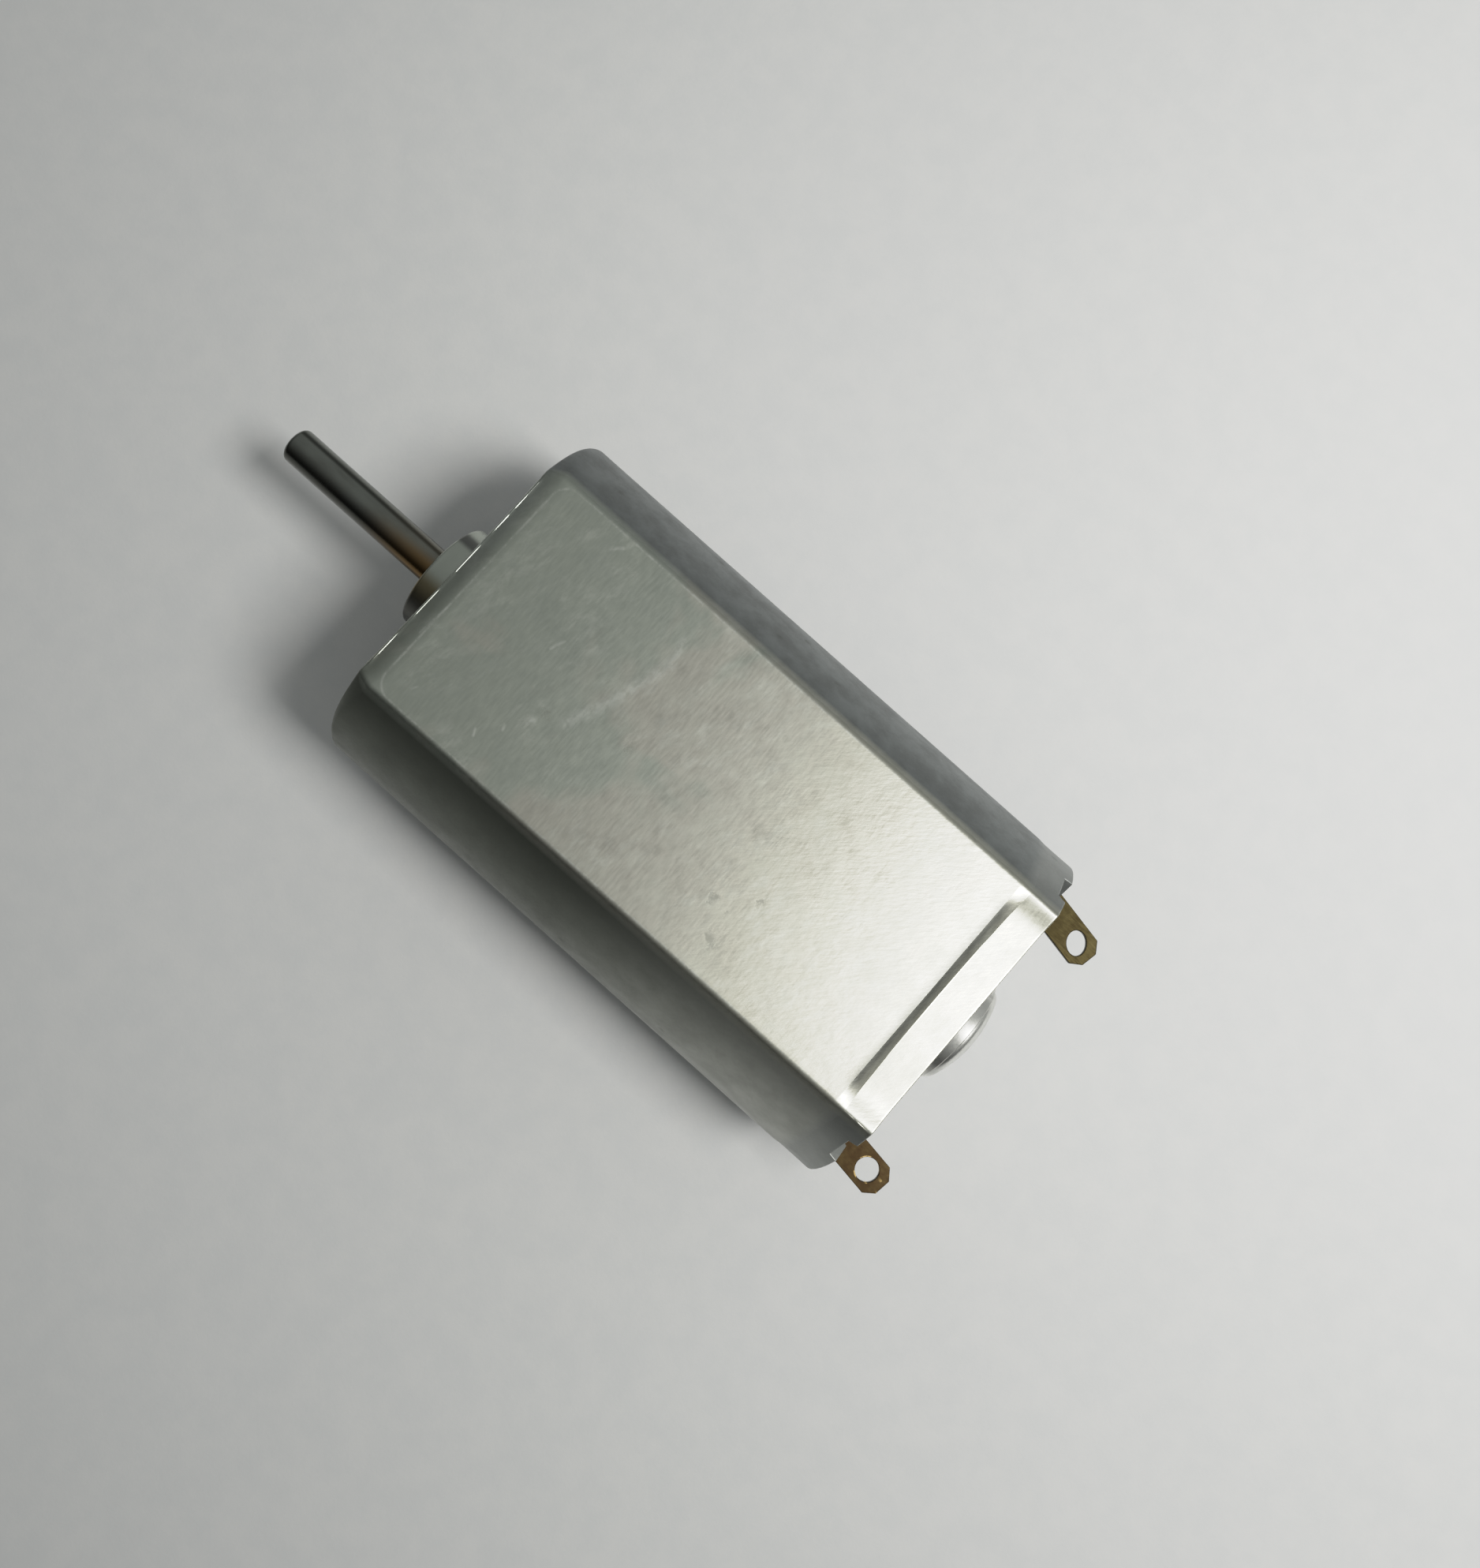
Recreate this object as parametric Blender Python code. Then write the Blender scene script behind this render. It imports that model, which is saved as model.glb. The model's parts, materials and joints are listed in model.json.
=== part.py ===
"""Small flat-sided brushed DC motor (the "180" frame size), built piece by piece.

Dimensions below are in millimetres. X runs along the shaft with the output end at
+X and x = 0 on the can's front face. Y runs towards the second curved side and Z is
up. Every object is placed so that its own origin sits on the shaft axis.
"""
import math

import bmesh
import bpy

MM = 0.001

# Can: a drawn steel cup, a circle cut by two parallel flats.
CAN_RADIUS = 10.2
CAN_HALF_HEIGHT = 7.7
CAN_LENGTH = 32.1
CAN_WALL = 0.8
CAN_BEND = 0.5
CAN_FRONT_FILLET = 1.2
CAN_FRONT_DROP = 0.9
CAN_FRONT_SIDE_FILLET = 0.25
FILLET_CHANGE_Y = (6.0, 9.5)
CAN_REAR_CHAMFER = 0.08
BAND_LENGTH = 1.95
BAND_DEPTH = 0.28
BAND_CORNER_DEPTH = 0.06
BAND_SIDE_DEPTH = 0.04
BAND_RAMP = 0.75
NOTCH_DEG = (31.0, 42.0)
NOTCH_DEPTH = 0.45
CRIMP_LIP = 0.25
CRIMP_THICKNESS = 0.25

# Front bearing boss and the screw holes beside it.
BOSS_RADIUS = 3.075
BOSS_HEIGHT = 2.05
BOSS_FILLET = 0.3
BOSS_EDGE = 0.18
BOSS_LIP = 0.4
BOSS_LIP_RADIUS = 1.7
BOSS_BORE_RADIUS = 2.43
SCREW_HOLE_RADIUS = 0.8
SCREW_HOLE_SPACING = 12.0

# Shaft and bearings.
SHAFT_RADIUS = 1.0
SHAFT_TIP_X = 12.45
SHAFT_REAR_X = -33.5
SHAFT_CHAMFER = 0.25
BUSH_BORE_RADIUS = 1.04
PRESS_GAP = 0.03
FRONT_BUSH_RADIUS = 2.4
FRONT_BUSH_X = (-0.7, 1.6)
REAR_BUSH_RADIUS = 2.0
REAR_BUSH_X = (-33.05, -30.3)

# Rotor.
CORE_X = (-20.5, -7.5)
POLE_COUNT = 3
POLE_RADIUS = 6.2
SHOE_INNER_RADIUS = 5.4
WEB_HALF_WIDTH = 1.1
CORE_HUB_RADIUS = 2.4
SLOT_HALF_OPENING_DEG = 4.6
INSULATOR_THICKNESS = 0.4
COIL_START_RADIUS = 2.5
COIL_GAP = 0.05
COIL_CORNER = 0.1
COIL_SECTION = ((0.0, 0.0), (0.0, 1.5), (0.5, 2.0), (1.3, 1.95), (2.0, 1.35), (2.55, 0.25), (2.55, 0.0))
FRONT_WASHER_X = (-1.3, -1.0)
FRONT_WASHER_RADIUS = 1.9
FRONT_SPACER_X = (-7.0, -1.35)
FRONT_SPACER_RADIUS = 1.6
REAR_WASHER_X = (-30.1, -29.5)
REAR_WASHER_RADIUS = 1.8

# Commutator and its suppressor ring.
HUB_X = (-29.2, -21.0)
HUB_RADIUS = 2.1
HUB_FLANGE_X = (-23.8, -23.4)
HUB_FLANGE_RADIUS = 2.9
BAR_X = (-29.0, -23.85)
BAR_INNER_RADIUS = 2.13
BAR_OUTER_RADIUS = 2.6
BAR_SPAN_DEG = 111.0
RISER_THICKNESS = 0.35
RISER_RADIUS = 4.0
RISER_HALF_DEG = 20.0
VARISTOR_X = (-25.2, -24.25)
VARISTOR_RADII = (2.68, 3.9)

# Field magnets and the wire clip that spreads them.
MAGNET_X = (-24.0, -5.0)
MAGNET_RADII = (6.55, 9.34)
MAGNET_HALF_DEG = 43.6
CLIP_WIRE_RADIUS = 0.3
CLIP_X = (-24.0, -4.3)
CLIP_Y = 6.2
CLIP_Z = -6.45
CLIP_CORNER = 1.4

# End bell, rear cap and thrust pad.
BELL_GAP = 0.04
BELL_REAR_X = -32.05
BELL_LEDGE_X = -31.62
BELL_LEDGE_WIDTH = 0.5
BELL_PLATE_X = -30.4
BELL_SKIRT_X = -27.0
BELL_SKIRT_WALL = 0.7
TOWER_RADIUS = 2.66
TOWER_BORE_RADIUS = 2.04
TOWER_REAR_X = -33.1
CAP_RADIUS = 3.0
CAP_SHEET = 0.3
CAP_FRONT_X = -32.08
CAP_DOME_RADIUS = 6.36
CAP_APEX_X = -34.39
PAD_X = (-33.86, -33.56)
PAD_RADIUS = 1.4

# Terminals, brush springs and brushes.
TAB_THICKNESS = 0.3
TAB_WIDTH = 1.9
TAB_INNER_X = -25.9
TAB_BEND_X = -32.6
TAB_CHAMFER = 0.5
TAB_SLOT_GAP = 0.06
TAB_LEFT = {"y": 7.97, "yaw": 8.0, "length": 3.15, "hole_at": 1.96, "hole": (0.63, 0.63), "tilt": 0.0}
TAB_RIGHT = {"y": -8.08, "yaw": 11.0, "length": 3.72, "hole_at": 2.64, "hole": (0.66, 0.52), "tilt": 42.0}
SPRING_FOOT = ((8.5, 0.3), (6.85, 0.3), (6.4, 0.7))
SPRING_HAIRPIN = ((6.2, 4.1), (5.8, 4.6), (5.3, 4.2))
SPRING_BLADE = ((3.8, 0.95), (3.8, -0.9))
SPRING_PATH = SPRING_FOOT + SPRING_HAIRPIN + SPRING_BLADE
SPRING_THICKNESS = 0.16
SPRING_X = (-27.8, -26.2)
BRUSH_X = (-28.0, -26.0)
BRUSH_Y = (2.66, 3.66)
BRUSH_HALF_HEIGHT = 0.85

# Mesh fineness.
FLAT_STEPS = 8
ARC_DEG = (8.0, 16.0, 24.0, 30.6, 31.4, 36.5, 41.6, 42.4)
ROUND_STEPS = 32
CAP_STEPS = 40
FILLET_STEPS = 4
SHARP_ANGLE = math.radians(30.0)

# Placement: middle of the overall length at x = 0, underside of the can at z = 0.
TAB_RIGHT_YAW = math.radians(TAB_RIGHT["yaw"])
TAB_END_REACH = (0.5 * TAB_WIDTH - TAB_CHAMFER) * math.sin(TAB_RIGHT_YAW)
REARMOST_X = TAB_BEND_X - TAB_RIGHT["length"] * math.cos(TAB_RIGHT_YAW) - TAB_END_REACH
ORIGIN = (-0.5 * (SHAFT_TIP_X + REARMOST_X) * MM, 0.0, CAN_HALF_HEIGHT * MM)


def clear_scene():
    """Remove every object already present."""
    for obj in list(bpy.data.objects):
        bpy.data.objects.remove(obj, do_unlink=True)


def make_material(name, colour, metallic, roughness):
    """One Principled material."""
    material = bpy.data.materials.new(name)
    material.use_nodes = True
    shader = material.node_tree.nodes["Principled BSDF"]
    shader.inputs["Base Color"].default_value = (*colour, 1.0)
    shader.inputs["Metallic"].default_value = metallic
    shader.inputs["Roughness"].default_value = roughness
    return material


def finish(bm, name, colour, metallic, roughness):
    """Turn a millimetre mesh into a placed, shaded object with its own material."""
    bmesh.ops.recalc_face_normals(bm, faces=bm.faces)
    bmesh.ops.scale(bm, vec=(MM, MM, MM), verts=bm.verts)
    mesh = bpy.data.meshes.new(name)
    bm.to_mesh(mesh)
    bm.free()
    for face in mesh.polygons:
        face.use_smooth = True
    mesh.set_sharp_from_angle(angle=SHARP_ANGLE)
    mesh.materials.append(make_material(name + "_material", colour, metallic, roughness))
    obj = bpy.data.objects.new(name, mesh)
    obj.location = ORIGIN
    bpy.context.scene.collection.objects.link(obj)
    return obj


def loft(bm, rings, wrap):
    """Skin equal-length rings; wrap joins last to first, otherwise both ends are capped."""
    rows = [[bm.verts.new(point) for point in ring] for ring in rings]
    pairs = list(zip(rows, rows[1:]))
    if wrap:
        pairs.append((rows[-1], rows[0]))
    else:
        bm.faces.new(rows[0])
        bm.faces.new(list(reversed(rows[-1])))
    bands = []
    for near, far in pairs:
        band = []
        for i in range(len(near)):
            j = (i + 1) % len(near)
            band.append(bm.faces.new((near[i], near[j], far[j], far[i])))
        bands.append(band)
    return bands


def circle(x, radius, angles):
    """Ring of points about the shaft axis; angles are measured from +Y towards +Z."""
    return [(x, radius * math.cos(a), radius * math.sin(a)) for a in angles]


def even_angles(count):
    """Evenly spaced angles round the axis."""
    return [2.0 * math.pi * i / count for i in range(count)]


def lathe(profile, steps, wrap=True):
    """Revolve an (x, radius) profile about the shaft axis."""
    bm = bmesh.new()
    loft(bm, [circle(x, radius, even_angles(steps)) for x, radius in profile], wrap)
    return bm


def tube(x_range, inner, outer, edge=0.06, steps=ROUND_STEPS):
    """Plain sleeve or washer with small chamfers on its outer edges."""
    rear, front = x_range
    profile = (
        (rear, inner),
        (rear, outer - edge),
        (rear + edge, outer),
        (front - edge, outer),
        (front, outer - edge),
        (front, inner),
    )
    return lathe(profile, steps)


def extrude_faces(bm, faces, moves):
    """Extrude a patch of faces through a list of point moves."""
    for move in moves:
        grown = bmesh.ops.extrude_face_region(bm, geom=faces)["geom"]
        bmesh.ops.delete(bm, geom=faces, context="FACES")
        faces = [item for item in grown if isinstance(item, bmesh.types.BMFace)]
        for item in grown:
            if isinstance(item, bmesh.types.BMVert):
                item.co = move(item.co)


def plate(bm, loops, lift, offset):
    """Fill an outline with holes, then thicken it by an offset vector."""
    edges = []
    for loop in loops:
        verts = [bm.verts.new(lift(a, b)) for a, b in loop]
        for i, vert in enumerate(verts):
            edges.append(bm.edges.new((vert, verts[(i + 1) % len(verts)])))
    filled = bmesh.ops.triangle_fill(bm, use_beauty=True, use_dissolve=False, edges=edges)["geom"]
    faces = [item for item in filled if isinstance(item, bmesh.types.BMFace)]
    grown = bmesh.ops.extrude_face_region(bm, geom=faces)["geom"]
    verts = [item for item in grown if isinstance(item, bmesh.types.BMVert)]
    bmesh.ops.translate(bm, vec=offset, verts=verts)


def corner_weight(y, z):
    """1 at the flats' long edges, falling smoothly to 0 away from them."""
    edge_y = math.sqrt(CAN_RADIUS ** 2 - CAN_HALF_HEIGHT ** 2)
    distance = math.hypot(abs(y) - edge_y, abs(z) - CAN_HALF_HEIGHT)
    return math.exp(-((distance / 1.1) ** 2))


def section(radius, half_height, bend):
    """Outline of a circle cut by two flats, with the four bends slightly rounded."""
    corner = math.asin(half_height / radius)
    turn = 0.5 * math.pi - corner
    setback = bend * math.tan(0.5 * turn)
    edge_y = radius * math.cos(corner)
    upper = [math.radians(a) for a in ARC_DEG] + [corner - setback / radius]
    arc = [-a for a in reversed(upper)] + [0.0] + upper
    points = [(radius * math.cos(a), radius * math.sin(a)) for a in arc]
    flat_y = edge_y - setback
    bulge = 0.3 * setback * math.sin(turn)
    middle = (edge_y - 0.25 * bulge, half_height - 0.6 * bulge)
    points.append(middle)
    flat = [flat_y - 2.0 * flat_y * i / FLAT_STEPS for i in range(FLAT_STEPS + 1)]
    points += [(y, half_height) for y in flat]
    points.append((-middle[0], middle[1]))
    points += [(-y, z) for y, z in reversed(points[:len(arc)])]
    points.append((-middle[0], -middle[1]))
    points += [(-y, -half_height) for y in flat]
    points.append((middle[0], -middle[1]))
    return points


def section_ring(x, inset, bend=CAN_BEND, radius=CAN_RADIUS, half_height=CAN_HALF_HEIGHT):
    """Flat-sided ring of points at one station along the axis."""
    return [(x, y, z) for y, z in section(radius - inset, half_height - inset, bend)]


SECTION_ANGLES = [math.atan2(z, y) for y, z in section(CAN_RADIUS, CAN_HALF_HEIGHT, CAN_BEND)]


def rear_edge(angle):
    """Notch depth and crimp lip of the can's rear edge at one angle round the axis."""
    slope = math.degrees(abs(math.asin(math.sin(angle))))
    if NOTCH_DEG[0] < slope < NOTCH_DEG[1]:
        return NOTCH_DEPTH, 0.0
    return 0.0, CRIMP_LIP if slope <= NOTCH_DEG[0] else 0.0


def band_ring(x, share, extra=0.0, notched=0.0):
    """Outer ring near the rear: the band's inset on the flats, and the notches in the edge."""
    ring = []
    for (y, z), angle in zip(section(CAN_RADIUS, CAN_HALF_HEIGHT, CAN_BEND), SECTION_ANGLES):
        weight = corner_weight(y, z)
        flat = abs(z) > CAN_HALF_HEIGHT - 0.1
        full = BAND_DEPTH if flat else BAND_SIDE_DEPTH
        depth = share * (full * (1.0 - weight) + BAND_CORNER_DEPTH * weight) + extra
        px = x + notched * rear_edge(angle)[0]
        if flat:
            ring.append((px, y, z - math.copysign(depth, z)))
        else:
            scale = 1.0 - depth / math.hypot(y, z)
            ring.append((px, y * scale, z * scale))
    return ring


def inner_rear_ring(back, lip_share):
    """Inner ring near the rear edge, drawn inwards where the edge is crimped."""
    ring = []
    inner = section(CAN_RADIUS - CAN_WALL, CAN_HALF_HEIGHT - CAN_WALL, 0.1)
    for (y, z), angle in zip(inner, SECTION_ANGLES):
        notch, lip = rear_edge(angle)
        scale = 1.0 - lip_share * lip / math.hypot(y, z)
        ring.append((-CAN_LENGTH + notch + back, y * scale, z * scale))
    return ring


def front_ring(turn):
    """Ring of the front edge's rounding: long over the flats, tight round the curved sides."""
    ring = []
    start, end = FILLET_CHANGE_Y
    for y, z in section(CAN_RADIUS, CAN_HALF_HEIGHT, CAN_BEND):
        t = min(1.0, max(0.0, (abs(y) - start) / (end - start)))
        side = t * t * (3.0 - 2.0 * t)
        length = CAN_FRONT_FILLET + side * (CAN_FRONT_SIDE_FILLET - CAN_FRONT_FILLET)
        drop = CAN_FRONT_DROP + side * (CAN_FRONT_SIDE_FILLET - CAN_FRONT_DROP)
        scale = 1.0 - drop * (1.0 - math.cos(turn)) / math.hypot(y, z)
        ring.append((-length * (1.0 - math.sin(turn)), y * scale, z * scale))
    return ring


def can_rings():
    """Rings of the can in order: outside rear to front, boss, then back along the inside."""
    band_x = -CAN_LENGTH + BAND_LENGTH
    rings = [
        band_ring(-CAN_LENGTH, 1.0, CAN_REAR_CHAMFER, 1.0),
        band_ring(-CAN_LENGTH + CAN_REAR_CHAMFER, 1.0, 0.0, 1.0),
    ]
    for along, share in ((0.0, 1.0), (0.08, 0.86), (0.35, 0.4), (0.65, 0.1), (1.0, 0.0)):
        rings.append(band_ring(band_x + along * BAND_RAMP, share))
    for i in range(FILLET_STEPS + 1):
        rings.append(front_ring(0.5 * math.pi * i / FILLET_STEPS))
    profile = (
        (0.0, BOSS_RADIUS + BOSS_FILLET),
        (0.3 * BOSS_FILLET, BOSS_RADIUS + 0.3 * BOSS_FILLET),
        (BOSS_FILLET, BOSS_RADIUS),
        (BOSS_HEIGHT - BOSS_EDGE, BOSS_RADIUS),
        (BOSS_HEIGHT - 0.3 * BOSS_EDGE, BOSS_RADIUS - 0.3 * BOSS_EDGE),
        (BOSS_HEIGHT, BOSS_RADIUS - BOSS_EDGE),
        (BOSS_HEIGHT, BOSS_LIP_RADIUS),
        (BOSS_HEIGHT - BOSS_LIP, BOSS_LIP_RADIUS),
        (BOSS_HEIGHT - BOSS_LIP, BOSS_BORE_RADIUS),
        (-CAN_WALL, BOSS_BORE_RADIUS),
    )
    rings += [circle(x, radius, SECTION_ANGLES) for x, radius in profile]
    inner_fillet = CAN_FRONT_FILLET - CAN_WALL
    rings.append(section_ring(-CAN_WALL, CAN_WALL + inner_fillet, 0.1))
    rings.append(section_ring(-CAN_WALL - 0.3 * inner_fillet, CAN_WALL + 0.3 * inner_fillet, 0.1))
    rings.append(section_ring(-CAN_WALL - inner_fillet, CAN_WALL, 0.1))
    rings.append(inner_rear_ring(CRIMP_THICKNESS + 0.15, 0.0))
    rings.append(inner_rear_ring(CRIMP_THICKNESS, 1.0))
    rings.append(inner_rear_ring(0.0, 1.0))
    return rings


def screw_cutter(name, y):
    """Hidden cylinder that opens one tapped hole in the front face."""
    bm = bmesh.new()
    angles = [a + math.pi / 20.0 for a in even_angles(20)]
    rings = []
    for x in (-2.0, 1.0):
        ring = circle(x, SCREW_HOLE_RADIUS, angles)
        rings.append([(px, y + py, pz) for px, py, pz in ring])
    loft(bm, rings, False)
    return hide_cutter(finish(bm, name, (0.5, 0.5, 0.5), 0.0, 0.5))


def box_mesh(bm, x_range, y_range, z_range):
    """Axis-aligned block."""
    (x0, x1), (y0, y1), (z0, z1) = x_range, y_range, z_range
    rings = [[(x, y0, z0), (x, y1, z0), (x, y1, z1), (x, y0, z1)] for x in (x0, x1)]
    loft(bm, rings, False)


def hide_cutter(obj):
    """Mark an object as a cutting tool."""
    obj.hide_render = True
    obj.display_type = "WIRE"
    return obj


def cut(obj, cutter):
    """Subtract one object from another."""
    modifier = obj.modifiers.new("cut_" + cutter.name, "BOOLEAN")
    modifier.operation = "DIFFERENCE"
    modifier.solver = "EXACT"
    modifier.object = cutter


def build_can():
    """Steel can with boss, stepped rear band, and a notched rear edge crimped inwards."""
    bm = bmesh.new()
    loft(bm, can_rings(), True)
    can = finish(bm, "can", (0.55, 0.56, 0.54), 0.9, 0.38)
    for index, y in enumerate((-0.5 * SCREW_HOLE_SPACING, 0.5 * SCREW_HOLE_SPACING)):
        cut(can, screw_cutter(f"screw_hole_cutter_{index + 1}", y))


def pole_outline(pole_radius, shoe_inner, half_web, hub_radius):
    """Outline of the slotted rotor stack in the Y-Z plane."""
    outline = []
    shoe_end = math.pi / POLE_COUNT - math.radians(SLOT_HALF_OPENING_DEG)
    inner_start = math.asin(half_web / shoe_inner)
    hub_start = math.asin(half_web / hub_radius)
    for pole in range(POLE_COUNT):
        axis = 2.0 * math.pi * pole / POLE_COUNT
        spans = (
            (hub_radius, -math.pi / POLE_COUNT, -hub_start, 2),
            (shoe_inner, -inner_start, -shoe_end, 4),
            (pole_radius, -shoe_end, shoe_end, 12),
            (shoe_inner, shoe_end, inner_start, 4),
            (hub_radius, hub_start, math.pi / POLE_COUNT, 2),
        )
        for radius, start, end, steps in spans:
            last = steps if radius != hub_radius or start < 0.0 else steps - 1
            for i in range(last + 1):
                a = axis + start + (end - start) * i / steps
                outline.append((radius * math.cos(a), radius * math.sin(a)))
    return outline


def build_stack(name, x_range, shrink, colour, metallic, roughness):
    """Prism with the rotor stack's outline and a bore for the shaft."""
    outline = pole_outline(
        POLE_RADIUS - shrink,
        SHOE_INNER_RADIUS + shrink,
        WEB_HALF_WIDTH - 0.2 * shrink,
        CORE_HUB_RADIUS - shrink,
    )
    bore_radius = SHAFT_RADIUS + PRESS_GAP
    bore = [(bore_radius * math.cos(a), bore_radius * math.sin(a)) for a in even_angles(ROUND_STEPS)]
    bm = bmesh.new()
    plate(bm, (outline, bore), lambda y, z: (x_range[0], y, z), (x_range[1] - x_range[0], 0.0, 0.0))
    finish(bm, name, colour, metallic, roughness)


def build_coil(name, pole):
    """One winding: a rounded rectangular ring round a pole's web."""
    middle_x = 0.5 * (CORE_X[0] + CORE_X[1])
    half_x = 0.5 * (CORE_X[1] - CORE_X[0]) + INSULATOR_THICKNESS + PRESS_GAP + COIL_GAP
    half_v = WEB_HALF_WIDTH + COIL_GAP
    axis = 2.0 * math.pi * pole / POLE_COUNT
    corner_steps = 4
    rings = []
    for quarter in range(4):
        for i in range(corner_steps + 1):
            a = 0.5 * math.pi * (quarter + i / corner_steps)
            sign_v = 1.0 if quarter in (0, 3) else -1.0
            sign_x = 1.0 if quarter in (0, 1) else -1.0
            ring = []
            for radial, outward in COIL_SECTION:
                reach = COIL_CORNER + outward
                v = sign_v * (half_v - COIL_CORNER) + reach * math.cos(a)
                x = middle_x + sign_x * (half_x - COIL_CORNER) + reach * math.sin(a)
                u = COIL_START_RADIUS + radial
                y = u * math.cos(axis) - v * math.sin(axis)
                z = u * math.sin(axis) + v * math.cos(axis)
                ring.append((x, y, z))
            rings.append(ring)
    bm = bmesh.new()
    loft(bm, rings, True)
    finish(bm, name, (0.45, 0.16, 0.05), 0.8, 0.35)


def arc_rings(profile, start, end, steps):
    """Copies of an (x, radius) profile placed at successive angles."""
    rings = []
    for i in range(steps + 1):
        a = start + (end - start) * i / steps
        rings.append([(x, radius * math.cos(a), radius * math.sin(a)) for x, radius in profile])
    return rings


def build_magnet(name, middle):
    """Curved field magnet."""
    rear, front = MAGNET_X
    inner, outer = MAGNET_RADII
    profile = ((rear, inner), (rear, outer), (front, outer), (front, inner))
    half = math.radians(MAGNET_HALF_DEG)
    bm = bmesh.new()
    loft(bm, arc_rings(profile, middle - half, middle + half, 16), False)
    finish(bm, name, (0.05, 0.05, 0.055), 0.1, 0.6)


def build_clip():
    """U-shaped spring wire lying in the gap between the magnets."""
    rear, front = CLIP_X
    path = [(rear, CLIP_Y)]
    for i in range(7):
        a = 0.5 * math.pi * i / 6
        path.append((
            front - CLIP_CORNER * (1.0 - math.sin(a)),
            CLIP_Y - CLIP_CORNER * (1.0 - math.cos(a)),
        ))
    path += [(x, -y) for x, y in reversed(path)]
    rings = []
    for i, (x, y) in enumerate(path):
        before = path[max(i - 1, 0)]
        after = path[min(i + 1, len(path) - 1)]
        length = math.hypot(after[0] - before[0], after[1] - before[1])
        side_x = -(after[1] - before[1]) / length
        side_y = (after[0] - before[0]) / length
        ring = []
        for a in even_angles(10):
            across = CLIP_WIRE_RADIUS * math.cos(a)
            ring.append((x + side_x * across, y + side_y * across, CLIP_Z + CLIP_WIRE_RADIUS * math.sin(a)))
        rings.append(ring)
    bm = bmesh.new()
    loft(bm, rings, False)
    finish(bm, "magnet_clip", (0.4, 0.4, 0.42), 0.9, 0.35)


def build_bar(name, middle):
    """Commutator bar with a riser standing out for the winding wire."""
    rear, front = BAR_X
    inner, outer = BAR_INNER_RADIUS, BAR_OUTER_RADIUS
    profile = ((rear, inner), (rear, outer), (front - RISER_THICKNESS, outer), (front, outer), (front, inner))
    half = math.radians(0.5 * BAR_SPAN_DEG)
    bm = bmesh.new()
    loft(bm, arc_rings(profile, middle - half, middle + half, 12), False)
    riser = []
    for face in bm.faces:
        centre = face.calc_center_median()
        turn = math.atan2(centre.z, centre.y) - middle
        turn = math.degrees(math.atan2(math.sin(turn), math.cos(turn)))
        on_strip = front - RISER_THICKNESS < centre.x < front and len(face.verts) == 4
        if on_strip and math.hypot(centre.y, centre.z) > outer - 0.1 and abs(turn) < RISER_HALF_DEG:
            riser.append(face)
    stretch = RISER_RADIUS / outer
    extrude_faces(bm, riser, [lambda point: (point.x, point.y * stretch, point.z * stretch)])
    finish(bm, name, (0.75, 0.36, 0.2), 1.0, 0.25)


def build_end_bell():
    """Moulded plug with a skirt, a bearing tower and two terminal slots."""
    radius = CAN_RADIUS - CAN_WALL - BELL_GAP
    height = CAN_HALF_HEIGHT - CAN_WALL - BELL_GAP
    edge = 0.15

    def outline(x, inset):
        return section_ring(x, inset, 0.1, radius, height)

    rings = [
        outline(BELL_SKIRT_X, 0.0),
        outline(BELL_LEDGE_X, 0.0),
        outline(BELL_LEDGE_X, BELL_LEDGE_WIDTH),
        outline(BELL_REAR_X + edge, BELL_LEDGE_WIDTH),
        outline(BELL_REAR_X, BELL_LEDGE_WIDTH + edge),
        circle(BELL_REAR_X, TOWER_RADIUS, SECTION_ANGLES),
        circle(TOWER_REAR_X, TOWER_RADIUS, SECTION_ANGLES),
        circle(TOWER_REAR_X, TOWER_BORE_RADIUS, SECTION_ANGLES),
        circle(BELL_PLATE_X, TOWER_BORE_RADIUS, SECTION_ANGLES),
        outline(BELL_PLATE_X, BELL_SKIRT_WALL),
        outline(BELL_SKIRT_X, BELL_SKIRT_WALL),
    ]
    bm = bmesh.new()
    loft(bm, rings, True)
    bell = finish(bm, "end_bell", (0.85, 0.85, 0.82), 0.0, 0.45)
    for index, tab in enumerate((TAB_LEFT, TAB_RIGHT)):
        half = 0.5 * TAB_WIDTH + TAB_SLOT_GAP
        depth = 0.5 * TAB_THICKNESS + TAB_SLOT_GAP
        bm = bmesh.new()
        box_mesh(bm, (-34.0, -26.0), (tab["y"] - half, tab["y"] + half), (-depth, depth))
        cut(bell, hide_cutter(finish(bm, f"slot_cutter_{index + 1}", (0.5, 0.5, 0.5), 0.0, 0.5)))


def build_rear_cap():
    """Pressed steel cap with a shallow domed end."""
    centre = CAP_APEX_X + CAP_DOME_RADIUS
    outside = []
    for radius in (0.25, 0.9, 1.6, 2.2, 2.65):
        outside.append((centre - math.sqrt(CAP_DOME_RADIUS ** 2 - radius ** 2), radius))
    rim_x, rim_r = outside[-1]
    outside += [(rim_x + 0.09, rim_r + 0.18), (rim_x + 0.26, rim_r + 0.3), (rim_x + 0.5, CAP_RADIUS)]
    outside.append((CAP_FRONT_X, CAP_RADIUS))
    inside = [(CAP_FRONT_X, CAP_RADIUS - CAP_SHEET), (rim_x + 0.55, CAP_RADIUS - CAP_SHEET)]
    inner_dome = CAP_DOME_RADIUS - CAP_SHEET
    for radius in (2.45, 1.7, 0.9, 0.25):
        inside.append((centre - math.sqrt(inner_dome ** 2 - radius ** 2), radius))
    finish(lathe(outside + inside, CAP_STEPS, False), "rear_cap", (0.6, 0.6, 0.58), 1.0, 0.2)


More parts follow.
